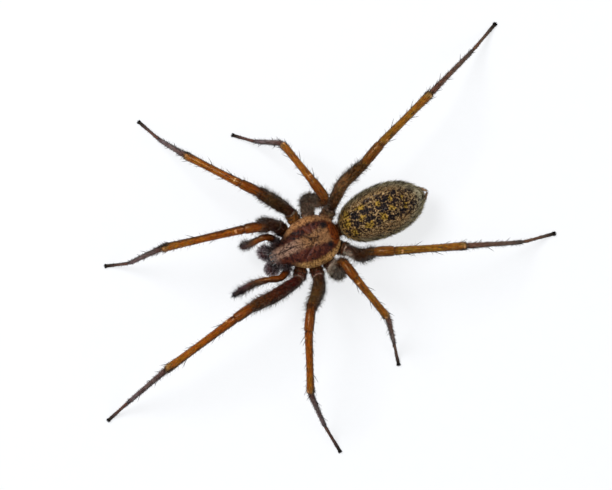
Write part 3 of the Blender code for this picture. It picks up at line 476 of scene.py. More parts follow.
def mesh_piece(name, points, faces, finish, values, uv=None):
    """A mesh in world metres from millimetre points. Faces are arrays with 3 or 4 corners a row."""
    corners = np.concatenate([rows.ravel() for rows in faces]).astype(np.int32)
    counts = np.concatenate([np.full(len(rows), rows.shape[1]) for rows in faces])
    starts = np.concatenate([[0], np.cumsum(counts)[:-1]]).astype(np.int32)
    mesh = bpy.data.meshes.new(name)
    mesh.vertices.add(len(points))
    mesh.vertices.foreach_set("co", (points * MM + ORIGIN).astype(np.float32).ravel())
    mesh.loops.add(len(corners))
    mesh.loops.foreach_set("vertex_index", corners)
    mesh.polygons.add(len(starts))
    mesh.polygons.foreach_set("loop_start", starts)
    for key, rows in values.items():
        layer = mesh.attributes.new(key, "FLOAT_VECTOR", "POINT")
        layer.data.foreach_set("vector", rows.astype(np.float32).ravel())
    if uv is not None:
        layer = mesh.uv_layers.new(name="OFBake")
        layer.data.foreach_set("uv", uv[corners].astype(np.float32).ravel())
    mesh.update(calc_edges=True)
    mesh.validate()
    mesh.shade_smooth()
    mesh.materials.append(finish.material)
    piece = bpy.data.objects.new(name, mesh)
    bpy.context.scene.collection.objects.link(piece)
    return piece


def finish_piece(piece, slot, *nodes):
    """Sets a piece on the frame's one body and hides the solids it stands for."""
    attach(piece, "root")
    if nodes:
        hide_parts(*nodes)


def skin_piece(name, skins, finish, slot, *nodes):
    """One piece from one or more skins, each closed at its ends."""
    points, faces = [], []
    first = 0
    for skin in skins:
        rows, sides, width = skin.grid.shape
        row, side, *_ = skin.centres()
        beside = (side + 1) % sides
        here, last = np.arange(sides), (rows - 1) * sides
        after = (here + 1) % sides
        faces += [first + columns(row * sides + side, row * sides + beside,
                                  (row + 1) * sides + beside, (row + 1) * sides + side),
                  first + columns(rows * sides, after, here),
                  first + columns(rows * sides + 1, last + here, last + after)]
        points += [skin.grid.reshape(-1, width), skin.grid[[0, -1]].mean(axis=1)]
        first += rows * sides + 2
    points = np.concatenate(points)
    values = {"place": points[:, :3], "limb": points[:, 3:6], "strand": columns(points[:, 6], 0.5, 0.0)}
    finish_piece(mesh_piece(name, points[:, :3], faces, finish, values), slot, *nodes)


class Coat:
    """Collects tapered hairs from several skins and makes them one piece."""

    PATCH = 0.003

    def __init__(self):
        self.rows, self.faces, self.count = [], [], 0

    def grow(self, spots, draw, lie=None, size=1.0, lift=None, levels=2):
        """Hairs of the spots' kind. They follow the skin unless lie says which way they point.

        Their length is multiplied by size, and lift takes the place of the lift of their kind.
        """
        _, stir, length, usual_lift, curl, radius = HAIR[spots.kind]
        number = len(spots.run)
        lie = (spots.ahead if lie is None else lie) + stir * draw.normal(size=(number, 3))
        length = size * draw.uniform(*length, number)
        radius = draw.uniform(*radius, number) if isinstance(radius, tuple) else np.full(number, radius)
        lift = draw.uniform(*(lift or usual_lift), number)
        self.add(spots, lie, length, radius, lift, draw.uniform(*curl, number), draw, levels=levels)

    def add(self, spots, lie, length, radius, lift, curl, draw, sides=3, levels=2, sunk=0.03):
        """Hairs that leave the skin at an angle of lift and bend back towards it by curl, in degrees."""
        number = len(length)
        lie = unit(lie - spots.normal * np.sum(lie * spots.normal, axis=-1, keepdims=True))
        aside = np.cross(lie, spots.normal)
        lift, curl = np.radians(lift)[:, None], np.radians(curl)[:, None]
        reach = length[:, None] / levels
        centre = spots.place - spots.normal * sunk
        rings = []
        for level in range(levels):
            angle = lift - curl * level / levels
            way = np.cos(angle) * lie + np.sin(angle) * spots.normal
            under = np.cross(way, aside)
            width = (radius * (1 - 0.75 * level / levels))[:, None]
            rings += [centre + width * (wide * aside + high * under) for wide, high in zip(*around(sides))]
            centre = centre + way * reach
        points = np.stack([*rings, centre], axis=1)
        points[..., 2] = np.maximum(points[..., 2], FLOOR_GAP)
        each = points.shape[1]
        triangles = [(0, k + 1, k) for k in range(1, sides - 1)]
        for here in range(each - 1):
            beside = here // sides * sides + (here + 1) % sides
            if here + sides >= each - 1:
                triangles.append((here, beside, each - 1))
            else:
                triangles += [(here, beside, beside + sides), (here, beside + sides, here + sides)]
        first = self.count + np.arange(number)[:, None, None] * each
        self.faces.append((first + np.array(triangles)).reshape(-1, 3))
        share = np.array([k // sides / levels for k in range(each)])
        across = np.array([(k % sides) / sides - 0.5 for k in range(each - 1)] + [0.0])
        strand = columns(spots.run[:, None], draw.random(number)[:, None], share)
        uv = 0.01 + 0.98 * spots.uv[:, None] + columns(across, share - 0.5) * self.PATCH
        place, limb = (np.repeat(rows[:, None], each, axis=1) for rows in (spots.place, spots.limb))
        self.rows.append(np.concatenate([points, place, limb, strand, uv], axis=2).reshape(-1, 14))
        self.count += number * each

    def piece(self, name, finish, slot):
        points, place, limb, strand, uv = np.split(np.concatenate(self.rows), (3, 6, 9, 12), axis=1)
        values = {"place": place, "limb": limb, "strand": strand}
        finish_piece(mesh_piece(name, points, [np.concatenate(self.faces)], finish, values, uv), slot)


def wired(operation, swapped=False):
    """An operator between two wires, or a wire and a number."""
    def work(self, other):
        return self.finish.maths(operation, *((other, self) if swapped else (self, other)))
    return work


class Wire:
    """One value in a material. Sums and products of wires add Math nodes."""

    def __init__(self, finish, socket):
        self.finish = finish
        self.socket = socket

    __add__ = __radd__ = wired("ADD")
    __mul__ = __rmul__ = wired("MULTIPLY")
    __sub__, __rsub__ = wired("SUBTRACT"), wired("SUBTRACT", True)
    __truediv__, __rtruediv__ = wired("DIVIDE"), wired("DIVIDE", True)


class Finish:
    """A material and the nodes that make it."""

    def __init__(self, name, specular, **values):
        self.material = bpy.data.materials.new(name)
        self.material.use_nodes = True
        self.tree = self.material.node_tree
        self.shader = self.tree.nodes["Principled BSDF"]
        self.set(Specular_IOR_Level=specular, **values)

    def set(self, **values):
        for key, value in values.items():
            self.join(self.shader.inputs[key.replace("_", " ")], value)
        return self

    def join(self, socket, value):
        if isinstance(value, Wire):
            self.tree.links.new(value.socket, socket)
        else:
            socket.default_value = value

    def node(self, kind, settings=(), sockets=(), out=0):
        """Adds a node of a kind with its settings, then joins or sets its sockets."""
        made = self.tree.nodes.new(kind)
        for key, value in dict(settings).items():
            if key == "stops":
                self.set_stops(made.color_ramp, value)
            else:
                setattr(made, key, value)
        for key, value in dict(sockets).items():
            self.join(made.inputs[key], value)
        return Wire(self, made.outputs[out])

    def set_stops(self, ramp, stops):
        while len(ramp.elements) < len(stops):
            ramp.elements.new(1.0)
        for element, (place, colour) in zip(ramp.elements, stops):
            element.position = place
            element.color = colour

    def maths(self, operation, *values):
        return self.node("ShaderNodeMath", {"operation": operation}, enumerate(values))

    def vector(self, operation, *values, out=0):
        return self.node("ShaderNodeVectorMath", {"operation": operation}, enumerate(values), out)

    def read(self, name):
        return self.node("ShaderNodeAttribute", {"attribute_name": name}, out="Vector")

    def split(self, vector):
        made = self.node("ShaderNodeSeparateXYZ", {}, {0: vector}).socket.node
        return [Wire(self, output) for output in made.outputs]

    def gather(self, x, y, z):
        return self.node("ShaderNodeCombineXYZ", {}, {0: x, 1: y, 2: z})

    def step(self, value, low, high):
        """0 below low, 1 above high, smooth between; low may be the larger."""
        return self.node("ShaderNodeMapRange", {"interpolation_type": "SMOOTHSTEP"},
                         {"Value": value, "From Min": low, "From Max": high})

    def inside(self, value, low, high, soft):
        """1 between low and high, 0 outside them."""
        return self.step(value, low - soft, low + soft) * self.step(value, high + soft, high - soft)

    def noise(self, vector, scale, detail=3.0, rough=0.55, out=0):
        return self.node("ShaderNodeTexNoise", {}, {"Vector": vector, "Scale": scale, "Detail": detail,
                                                    "Roughness": rough}, out)

    def mix(self, share, one, other, way="MIX"):
        """Blends two colours. One with three values is as a screen shows it."""
        one, other = (tone(*c) if isinstance(c, tuple) and len(c) == 3 else c for c in (one, other))
        return self.node("ShaderNodeMix", {"data_type": "RGBA", "blend_type": way},
                         {0: share, 6: one, 7: other}, 2)

    def shade(self, colour, value):
        """A colour made darker or lighter by a value that varies."""
        grey = self.node("ShaderNodeCombineColor", {}, {0: value, 1: value, 2: value})
        return self.mix(1.0, colour, grey, "MULTIPLY")

    def spots(self, place, marks, soft=0.55):
        """A mask of soft oval marks on the surface, seen from above."""
        mask = None
        for x, y, wide, long in marks:
            scaled = self.vector("MULTIPLY_ADD", place, (1 / wide, 1 / long, 0.0),
                                 (-x / wide, -y / long, 0.0))
            one = self.step(self.vector("LENGTH", scaled, out="Value"), 1.15, soft)
            mask = one if mask is None else self.maths("MAXIMUM", mask, one)
        return mask

    def bump(self, height, distance):
        return self.node("ShaderNodeBump", {}, {"Strength": 0.6, "Distance": distance * MM, "Height": height})


def limb_colours(finish, tones):
    """Colours along a limb, its sides darker (own hair and painted shade), golden in places, with fine
    lengthwise grain.
    """
    joints = tones[0][-1][0]
    part, upper, aside = finish.split(finish.read("limb"))
    run, own, share = finish.split(finish.read("strand"))
    place = finish.read("place")
    x, y, _ = finish.split(place)
    ramps = [finish.node("ShaderNodeValToRGB", {"stops": [(at / joints, tone(*paint)) for at, paint in rows]},
                         {0: part / joints}) for rows in tones]
    colour = ramps[0]
    if len(ramps) > 1:
        colour = finish.mix(finish.step(y, -2.5, 2.5), *ramps)
        for wide, long, joint, most, paint in LEG_PATCHES:
            here = finish.inside(x, *wide, 0.25) * finish.inside(y, *long, 0.25)
            colour = finish.mix(here * finish.inside(part, *joint, 0.06) * most, colour, paint)
        # Painted highlight: a pale glint on the tibia's upper side near each end. Its far end is darker on
        # its sides and below.
        for at in TIBIA_PAINTED_GLINTS:
            near = finish.step(finish.maths("ABSOLUTE", part - at), 0.018, 0.006)
            lit = near * finish.step(upper + 0.7 * aside, 0.95, 1.2) * 0.55
            colour = finish.mix(lit, colour, (232, 164, 106))
        corner = finish.step(part, 3.84, 3.92) * finish.step(part, 4.0, 3.99) * finish.step(upper, 0.8, 0.4)
        colour = finish.mix(corner * 0.8, colour, (28, 14, 8))
    grain = finish.noise(finish.gather(run * 0.6, upper * 1.9, aside * 1.9), 3.4, 4.0, 0.66)
    blotch = finish.noise(place, 1.3)
    golden = finish.mix(1.0, colour, (1.05, 1.5, 1.6, 1.0), "MULTIPLY")
    colour = finish.mix(finish.step(finish.noise(place, 2.6), 0.46, 0.6) * 0.75, colour, golden)
    near = finish.step(part, 0.4 * joints, 0.3 * joints)
    fleck = finish.step(finish.noise(place, 5.0, 2.0, 0.7), 0.34, 0.64)
    # Painted shade, partly real: the limb is darkened towards its sides, away from its upper side.
    side_shade = finish.step(upper + (blotch - 0.5) * 0.7, -0.05, 0.75)
    streak = finish.step(grain, 0.36, 0.64)
    shade = (0.32 + 0.78 * side_shade) * (0.5 + 0.98 * streak) * (1.0 + near * (1.2 * fleck - 0.6))
    return finish.shade(colour, shade), grain, part, own, share, joints


def limb_skin_finish(name, tones):
    finish = Finish(name, 0.24, Specular_Tint=(1.0, 0.72, 0.45, 1.0))
    colour, grain, part, _, _, joints = limb_colours(finish, tones)
    fine = finish.noise(finish.read("place"), 26.0, 2.0)
    glossy = finish.step(part, 0.3 * joints, 0.36 * joints) * finish.step(part, 0.68 * joints, 0.64 * joints)
    return finish.set(Base_Color=colour, Roughness=0.42 - 0.26 * glossy + 0.14 * grain,
                      Normal=finish.bump(grain * 0.6 + fine * 0.4, 0.025))


def limb_coat_finish(name, tones):
    finish = Finish(name, 0.06)
    colour, _, part, own, share, joints = limb_colours(finish, tones)
    near = finish.step(part, 0.36 * joints, 0.3 * joints)
    dark = finish.mix(0.5 + 0.15 * near, colour, (18, 11, 10))
    pale = finish.mix(0.42 + 0.2 * near, colour, (184, 164, 142))
    colour = finish.mix(finish.step(own, 0.3, 0.4), dark, colour)
    foot = finish.step(part, 0.97 * joints, 0.93 * joints)
    colour = finish.mix(finish.step(own, 0.66, 0.92) * foot, colour, pale)
    return finish.set(Base_Color=colour, Roughness=0.5 + 0.2 * share)


def shield_colours(finish):
    """The carapace: a mottled middle band, dark side bands with rays, a pale margin, black spots."""
    place = finish.read("place")
    x, y, _ = finish.split(place)
    across, edge, _ = finish.split(finish.read("limb"))
    grain = finish.noise(place, 3.2, 4.0)
    fleck = finish.step(finish.noise(place, 4.8, 3.0, 0.75), 0.42, 0.56)
    wander = (grain - 0.5) * 0.8
    aside = x + BAND_SHIFT
    pale = finish.step(finish.maths("ABSOLUTE", aside) - across + wander, 0.16, -0.16)
    margin = finish.step(edge + wander * 0.2, 0.64, 0.84) * finish.step(y, -5.3, -4.0)
    angle = finish.maths("ARCTAN2", aside, y + 2.15)
    rays = finish.step(finish.noise(finish.gather(angle * 9.0, y * 0.4, 0.0), 2.4, 2.0), 0.42, 0.58)
    behind = finish.step(y, -4.6, -3.0)
    far = finish.step(y, -2.4, -1.4)
    tan = finish.mix(fleck * 0.7 + rays * 0.3 * (1.0 + far), finish.mix(behind, (46, 26, 24), (30, 13, 9)),
                     finish.mix(behind, (186, 144, 118), (164, 116, 74)))
    south = finish.step(x, -0.4, 0.4)
    cloud = finish.step(finish.noise(place, 2.6, 4.0, 0.7), 0.48, 0.58)
    dark = finish.mix(rays * (0.1 + 0.25 * south) + fleck * 0.5, (10, 2, 4), (96, 44, 34))
    dark = finish.mix(cloud * 0.55, dark, (118, 62, 40))
    rim = finish.mix(rays * 0.4 + fleck * 0.6, finish.mix(south, (92, 50, 26), (104, 66, 28)),
                     finish.mix(south, (206, 148, 94), (240, 184, 112)))
    colour = finish.mix(margin, finish.mix(pale, dark, tan), rim)
    colour = finish.mix(finish.step(y, -5.7, -6.4) * 0.5, colour, (124, 110, 106))
    rust = finish.mix(fleck, (62, 18, 2), (128, 60, 14))
    rear = finish.step(y + 0.3 * wander, -1.15, -0.75) * finish.step(edge, 0.8, 0.6)
    colour = finish.mix(rear, colour, rust)
    blots = finish.spots(place, CARAPACE_BLOTS, 0.3)
    colour = finish.mix(blots * (0.7 + 0.3 * fleck), colour, (8, 9, 18))
    colour = finish.mix(finish.spots(place, CARAPACE_LINES, 0.3) * 0.9, colour, (24, 8, 10))
    return finish.shade(colour, 0.55 + 0.9 * grain), grain, y, edge


def shield_skin_finish():
    finish = Finish("carapace_shell", 0.14)
    colour, grain, _, _ = shield_colours(finish)
    fine = finish.noise(finish.read("place"), 22.0)
    return finish.set(Base_Color=colour, Roughness=0.36 + 0.24 * grain,
                      Normal=finish.bump(fine * 0.5 + grain * 0.5, 0.035))


def shield_coat_finish():
    finish = Finish("carapace_hair", 0.05, Roughness=0.6)
    colour, _, y, edge = shield_colours(finish)
    _, own, _ = finish.split(finish.read("strand"))
    face = finish.step(y, -6.0, -6.5)
    pale = finish.mix(0.2 + 0.6 * face, colour, (216, 206, 200))
    dark = finish.mix(0.45, colour, (24, 14, 14))
    colour = finish.mix(finish.step(own, 0.24, 0.3), dark, colour)
    colour = finish.mix(finish.step(own + 0.16 * face, 0.76, 0.86), colour, pale)
    # The cheek hair is real hair, made dark partly as painted shade under the head's edge beside the jaws.
    cheek = finish.step(edge, 0.8, 0.88) * finish.step(y, -5.0, -5.5)
    smoky_shade = finish.mix(finish.step(own, 0.55, 0.75), (26, 18, 20), (150, 138, 140))
    return finish.set(Base_Color=finish.mix(cheek, colour, smoky_shade))


def abdomen_colours(finish):
    """The abdomen: everywhere a fine net of a dark and a light tone, whose colours change by region."""
    place = finish.read("place")
    x, y, z = finish.split(place)
    stir = finish.noise(place, 2.4, 3.0, 0.5, "Color")
    moved = finish.vector("MULTIPLY_ADD", stir, (0.8, 0.8, 0.0), place)
    moved = finish.vector("SUBTRACT", moved, (0.4, 0.4, 0.0))
    back = finish.step(z, 4.3, 5.4)
    net = finish.noise(place, 5.6, 2.5, 0.8)
    streaks = finish.noise(finish.gather(x * 3.8, y * 1.5, z * 3.8), 1.0, 2.5, 0.75)
    middle = back * finish.step(finish.maths("ABSOLUTE", x), 1.5, 0.8)
    front = finish.step(y, 1.8, 0.6) * finish.step(z, 3.8, 4.8)
    yellow = finish.spots(moved, YELLOW_MARKS, 0.8) * back
    black = finish.spots(moved, BLACK_MARKS, 0.8) * back
    lean = 0.02 * yellow - 0.035 * black - 0.05 * middle
    lit = finish.step(streaks + (net - streaks) * finish.step(z, 4.1, 4.5) + lean, 0.46, 0.52)
    under = finish.step(z, 3.4, 2.6)
    dark = finish.mix(back, (36, 29, 20), (18, 10, 12))
    bright = finish.step(finish.noise(place, 9.0, 1.0), 0.4, 0.66)
    light = finish.mix(bright, finish.mix(back, (160, 148, 110), (124, 88, 52)),
                       finish.mix(back, (228, 216, 180), (228, 190, 132)))
    for share, deep, pale in (
        (front, (22, 10, 8), (204, 156, 84)), (yellow, (48, 34, 8), (200, 158, 56)),
        (black, (3, 2, 10), (60, 44, 46)), (under, (84, 70, 50), (158, 140, 106)),
    ):
        dark = finish.mix(share, dark, deep)
        light = finish.mix(share * 0.85, light, pale)
    lungs = finish.spots(place, LUNG_MARKS) * under
    return finish.mix(lungs * 0.7, finish.mix(lit, dark, light), (176, 144, 86)), back


def abdomen_skin_finish():
    finish = Finish("abdomen_skin", 0.1)
    colour, _ = abdomen_colours(finish)
    fine = finish.noise(finish.read("place"), 14.0)
    return finish.set(Base_Color=finish.shade(colour, 0.8 + 0.3 * fine), Roughness=0.42 + 0.3 * fine,
                      Normal=finish.bump(fine, 0.05))


def abdomen_coat_finish():
    finish = Finish("abdomen_hair", 0.04, Roughness=0.6)
    colour, back = abdomen_colours(finish)
    _, own, share = finish.split(finish.read("strand"))
    dark = finish.mix(0.7 - 0.3 * back, colour, (20, 15, 13))
    pale = finish.mix(0.4 - 0.2 * back, colour, (196, 180, 140))
    shades = finish.mix(finish.step(own, 0.14, 0.2), dark, colour)
    shades = finish.mix(finish.step(own, 0.84, 0.92), shades, pale)
    # Painted highlight: a few hairs on the back are painted near white as glints.
    painted_glints = finish.step(own, 0.985, 0.99) * back
    shades = finish.mix(painted_glints * 0.8, shades, (236, 232, 226))
    return finish.set(Base_Color=finish.shade(shades, 0.9 + 0.3 * share))


def plate_finish():
    """The sternum: dark brown with a pale middle line and paler spots near the coxae."""
    finish = Finish("sternum_plate", 0.16, Roughness=0.42)
    place = finish.read("place")
    grain = finish.noise(place, 6.0, 4.0)
    colour = finish.mix(finish.spots(place, STERNUM_MARKS) * 0.75, (62, 40, 28), (140, 106, 72))
    return finish.set(Base_Color=finish.shade(colour, 0.65 + 0.7 * grain), Normal=finish.bump(grain, 0.03))


def plain_finish(name, dark, light, roughness, specular=0.16):
    """Chitin of one kind, mottled between two tones."""
    finish = Finish(name, specular)
    grain = finish.noise(finish.read("place"), 5.0, 4.0)
    colour = finish.mix(finish.step(grain, 0.34, 0.66), dark, light)
    return finish.set(Base_Color=colour, Roughness=roughness * 0.75 + roughness * 0.5 * grain,
                      Normal=finish.bump(grain, 0.02))


def hair_finish(name, dark, light, low=0.3, high=0.95):
    """Hair of one kind, each hair between two tones, lighter towards its tip."""
    finish = Finish(name, 0.06, Roughness=0.5)
    _, own, share = finish.split(finish.read("strand"))
    colour = finish.mix(finish.step(own, low, high), dark, light)
    return finish.set(Base_Color=finish.shade(colour, 0.8 + 0.4 * share))


def eye_finish():
    finish = Finish("eye_lens", 0.6, Roughness=0.06, Coat_Weight=1.0, Coat_Roughness=0.03)
    grain = finish.noise(finish.read("place"), 3.0, 2.0)
    return finish.set(Base_Color=finish.mix(grain, (8, 6, 6), (30, 20, 14)))


def floor_finish():
    """Pale matt paper that glows a little, so that shadows stay faint as in a light tent."""
    finish = Finish("studio_floor", 0.0, Roughness=0.9, Emission_Color=(0.98, 0.99, 1.0, 1.0),
                    Emission_Strength=FLOOR_GLOW)
    grain = finish.noise(finish.node("ShaderNodeTexCoord", out="Object"), 900.0)
    return finish.set(Base_Color=finish.mix(grain, tone(136, 137, 140, 1.0), tone(140, 141, 144, 1.0)))


def hair_draw(part, more=0):
    return np.random.default_rng(HAIR_SEEDS[part] + more)


def by_part(rows):
    """Reads a curve over the joint numbers of a limb."""
    return lambda spots: curve(rows, spots.limb[:, 0])


def tube_skin(course, distances, radii, parts, sides):
    """A limb's skin around its course; parts say which joint each ring belongs to."""
    high, wide = around(sides, 0.5)
    rings = []
    for frame_here, distance, radius, part in zip(frames_on(course, distances), distances, radii, parts):
        centre, _, up, aside = frame_here
        x, y, z = (centre + radius * (high[:, None] * up + wide[:, None] * aside)).T
        rings.append(columns(x, y, z, part, high, wide, distance))
    return Skin(rings)


def arm_skin(corners, radii, reach, sides=18, count=40):
    """A skin around a short course, with one table of radii from its start to its end."""
    course = rounded_course(corners, reach)
    far = np.linspace(0.0, course[1][-1], count)
    return tube_skin(course, far, curve(radii, far / far[-1]), far / far[-1], sides)


def limb_skin(course, stations, tables, thick, sides):
    """One skin over several joints in a row, with a neck at each joint and closer rings at its ends."""
    rows = []
    for number, (start, end, table) in enumerate(zip(stations, stations[1:], tables)):
        line = np.linspace(0.0, 1.0, max(8, int((end - start) / RING_SPACING) + 6))
        t = (0.55 * line + 0.45 * (0.5 - 0.5 * np.cos(math.pi * line)))[:-1]
        rows.append(columns(start + t * (end - start), curve(table, t) * thick[number], number + t))
    rows.append([(stations[-1], tables[-1][-1][1] * thick[-1], len(tables))])
    return tube_skin(course, *np.concatenate(rows).T, sides)


def leg_course(side, sign, pair):
    """The middle line of a whole leg, from its coxa to the end of the foot."""
    *corners, tip = LEGS[f"{side}_{pair}"]
    tip = np.array(tip)
    back = (np.array(corners[-1]) - tip) * np.array((1.0, 1.0, 0.0))
    back = back / np.linalg.norm(back)
    foot = (tip + back * FOOT_LENGTH, tip + back * FOOT_END)
    return rounded_course([*mirrored(LEG_ROOTS[pair][:2], sign), *corners, *foot], LEG_BEND)


def leg_spine_spots(course, stations, thick, side, pair):
    """Where the spines of a leg stand, which way they point, how long they are and how far they lean."""
    seed = SPINE_SEED + 10 * pair + (side == "left")
    draw, more = random.Random(seed), random.Random(seed + 500)
    bounds = dict(zip(JOINTS, zip(stations, stations[1:])))
    spans = dict(bounds, tibia=(bounds["patella"][0], bounds["tibia"][1]))
    jobs = [(spans[kind][0] + SPINE_GAP, spans[kind][1] - SPINE_GAP, rows, draw)
            for kind, rows in SPINES.items()]
    jobs += [(*bounds[kind], rows, more) for kind, rows in MORE_SPINES.items()]
    found = []
    for start, end, rows, chance in jobs:
        for part, turn, length in rows:
            part += chance.uniform(-0.03, 0.03)
            turn = math.radians(turn + chance.uniform(-12.0, 12.0))
            length *= SPINE_SHARE * chance.uniform(0.9, 1.1)
            lean = SPINE_LEAN + chance.uniform(-5.0, 5.0)
            distance = start + part * (end - start)
            centre, along, up, aside = frames_on(course, np.linspace(0.0, distance, 40))[-1]
            out = math.cos(turn) * up + math.sin(turn) * aside
            number = max(k for k in range(len(JOINTS)) if stations[k] <= distance)
            t = (distance - stations[number]) / (stations[number + 1] - stations[number])
            radius = curve(JOINT_RADII[JOINTS[number]], t) * thick[number]
            found.append((centre + out * radius, out, along, (number + t, math.cos(turn), math.sin(turn)),
                          distance, length, lean))
    place, out, along, limb, run, length, lean = (np.array(rows) for rows in zip(*found))
    return Spots(place, out, along, limb, run, columns(0.5, run / stations[-1])), length, lean


def leg_coat(skin, shaggy, draw):
    """Hair that lies along the leg, upright hair, thickest on the femur, and the tuft of the foot."""
    coat = Coat()
    flat = skin.roots("leg_flat", draw, by_part(FLAT_HAIR_SHARE))
    coat.grow(flat, draw, size=by_part(FLAT_HAIR_LENGTH)(flat))
    wild = skin.roots("leg_wild", draw, by_part(WILD_HAIR_SHARE), shaggy)
    coat.grow(wild, draw, size=by_part(WILD_HAIR_LENGTH)(wild))
    coat.grow(skin.roots("foot_tuft", draw, lambda s: s.limb[:, 0] > FOOT_TUFT_START), draw)
    return coat


def claws(course):
    """Two hooks at the end of a foot."""
    end = course[0][-1]
    ahead = end - point_on(course, course[1][-1] - 0.1)
    ahead = ahead / np.linalg.norm(ahead)
    across = np.cross(ahead, (0.0, 0.0, 1.0)) * CLAW_SPREAD
    skins = []
    for sign in (-1.0, 1.0):
        root = end - ahead * 0.12 + across * sign * 0.4
        top = end + ahead * 0.4 * FOOT_END + across * sign + np.array((0.0, 0.0, 0.03))
        tip = end + ahead * (FOOT_END + CLAW_PAST_TIP) + across * sign * 1.2
        tip[2] = CLAW_TIP_HEIGHT
        skins.append(arm_skin((root, top, tip), CLAW_RADII, 0.1, 10, 12))
    return skins


def make_leg(side, sign, pair, skin_finish, coat_finish, spine_finish, claw_finish):
    name = f"leg_{side}_{pair}"
    course = leg_course(side, sign, pair)
    marks = course[2]
    stations = [0.0, marks[1], *marks[3:7], marks[-1]]
    coxa, femur, shin = LEG_ROOTS[pair][2]
    thick = (coxa, femur, shin, shin, shin, shin)
    skin = limb_skin(course, stations, list(JOINT_RADII.values()), thick, LEG_SIDES)
    nodes = [f"{name}_{part}" for part in ("coxa", "femur", "tibia", "metatarsus", "tarsus")]
    skin_piece(f"{name}_skin", [skin], skin_finish, "shin", *nodes)
    draw = hair_draw("legs", 10 * pair + (side == "left"))
    leg_coat(skin, SHAGGY.get(pair, 1.0), draw).piece(f"{name}_coat", coat_finish, "femur")
    spots, length, lean = leg_spine_spots(course, stations, thick, side, pair)
    radius, curl = np.full(len(length), SPINE_RADIUS), np.full(len(length), SPINE_CURL)
    spines = Coat()
    spines.add(spots, spots.ahead, length, radius, lean, curl, draw, sides=6, levels=4, sunk=0.1)
    spines.piece(f"{name}_spines", spine_finish, "metatarsus")
    skin_piece(f"{name}_claws", claws(course), claw_finish, "tarsus")


def carapace_relief(x, y):
    """How far the fovea, the grooves beside the head and the rays press the carapace in."""
    middle = 0.5 * sum(FOVEA)
    half = 0.5 * (FOVEA[1] - FOVEA[0])
    fovea = 0.2 * np.exp(-(x / 0.1) ** 2 - ((y - middle) / half) ** 4)
    line = 0.1 + 0.72 * (FOVEA[0] + 0.2 - y)
    inside = 1 / (1 + np.exp(-(line - 0.05) * 20)) / (1 + np.exp((line - 1.8) * 10))
    groove = 0.12 * np.exp(-((np.abs(x) - line) / 0.16) ** 2) * inside
    away = np.hypot(x, y - middle)
    angle = np.arctan2(np.abs(x), y - middle)
    rays = sum(np.exp(-((angle - ray) * away / 0.1) ** 2) for ray in RAY_ANGLES)
    window = np.clip((away - 0.35) / 0.4, 0, 1) * np.clip((2.0 - away) / 0.4, 0, 1)
    return fovea + groove + 0.055 * rays * window


def carapace_skin(eyes):
    rows, over, under = 170, 120, 30
    turns = math.pi * np.arange(over + 1) / over
    k = np.arange(1, under) / under
    length = CARAPACE_REAR - CARAPACE_FRONT - 2 * COAT_DEPTH
    rings = []
    for row in range(rows + 1):
        line = row / rows
        part = 0.6 * line + 0.4 * (0.5 - 0.5 * math.cos(math.pi * line))
        y = CARAPACE_FRONT + COAT_DEPTH + part * length
        front = min(1.0, part / 0.05)
        rear = min(1.0, (1 - part) / 0.03)
        close = (1 - 0.6 * (1 - front) ** 2) * (1 - 0.6 * (1 - rear) ** 2)
        half = (curve(CARAPACE_HALF_WIDTH, part) - COAT_DEPTH) * close
        low = curve(CARAPACE_MARGIN, part) + COAT_DEPTH
        high = curve(CARAPACE_TOP, part) - COAT_DEPTH
        middle = 0.5 * (low + high)
        low = middle + (low - middle) * close
        high = middle + (high - middle) * close
        reach = np.sign(np.cos(turns)) * np.abs(np.cos(turns)) ** (2 / curve(CARAPACE_SHOULDER, part))
        x = half * reach
        z = low + (high - low) * np.abs(np.sin(turns)) ** (2 / 2.1)
        z = z - carapace_relief(x, y) * np.sin(turns)
        # The margin is a thin raised rim.
        z = z + 0.03 * np.exp(-((np.abs(reach) - 0.955) / 0.02) ** 2) * min(1.0, line * 6)
        pale = curve(PALE_BAND, y)
        below = low + 0.1 * np.sin(math.pi * k)
        rings.append(np.concatenate([columns(x, y, z, pale, np.abs(reach), part, y),
                                     columns(-half + 2 * half * k, y, below, pale, 1.0, part, y)]))
    skin = Skin(rings)
    for centre, radius in eyes:
        points = skin.grid[..., :3]
        away = np.linalg.norm(points - centre, axis=2)
        rim = 0.06 * np.exp(-((away - radius * 1.15) / (0.4 * radius)) ** 2)
        skin.grid[..., :3] = points + unit(points - np.array(HEAD_MIDDLE)) * rim[..., None]
    return skin


def clear_of(spots, eyes):
    """1 where no eye is near, 0 close to one."""
    free = np.ones(len(spots.run))
    for centre, radius in eyes:
        free[np.linalg.norm(spots.place - centre, axis=1) < radius + EYE_CLEARANCE] = 0.0
    return free


def head_share(y, z, eyes):
    """Hair only ahead of y and above z, and clear of the eyes."""
    return lambda spots: (spots.place[:, 1] < y) * (spots.place[:, 2] > z) * clear_of(spots, eyes)


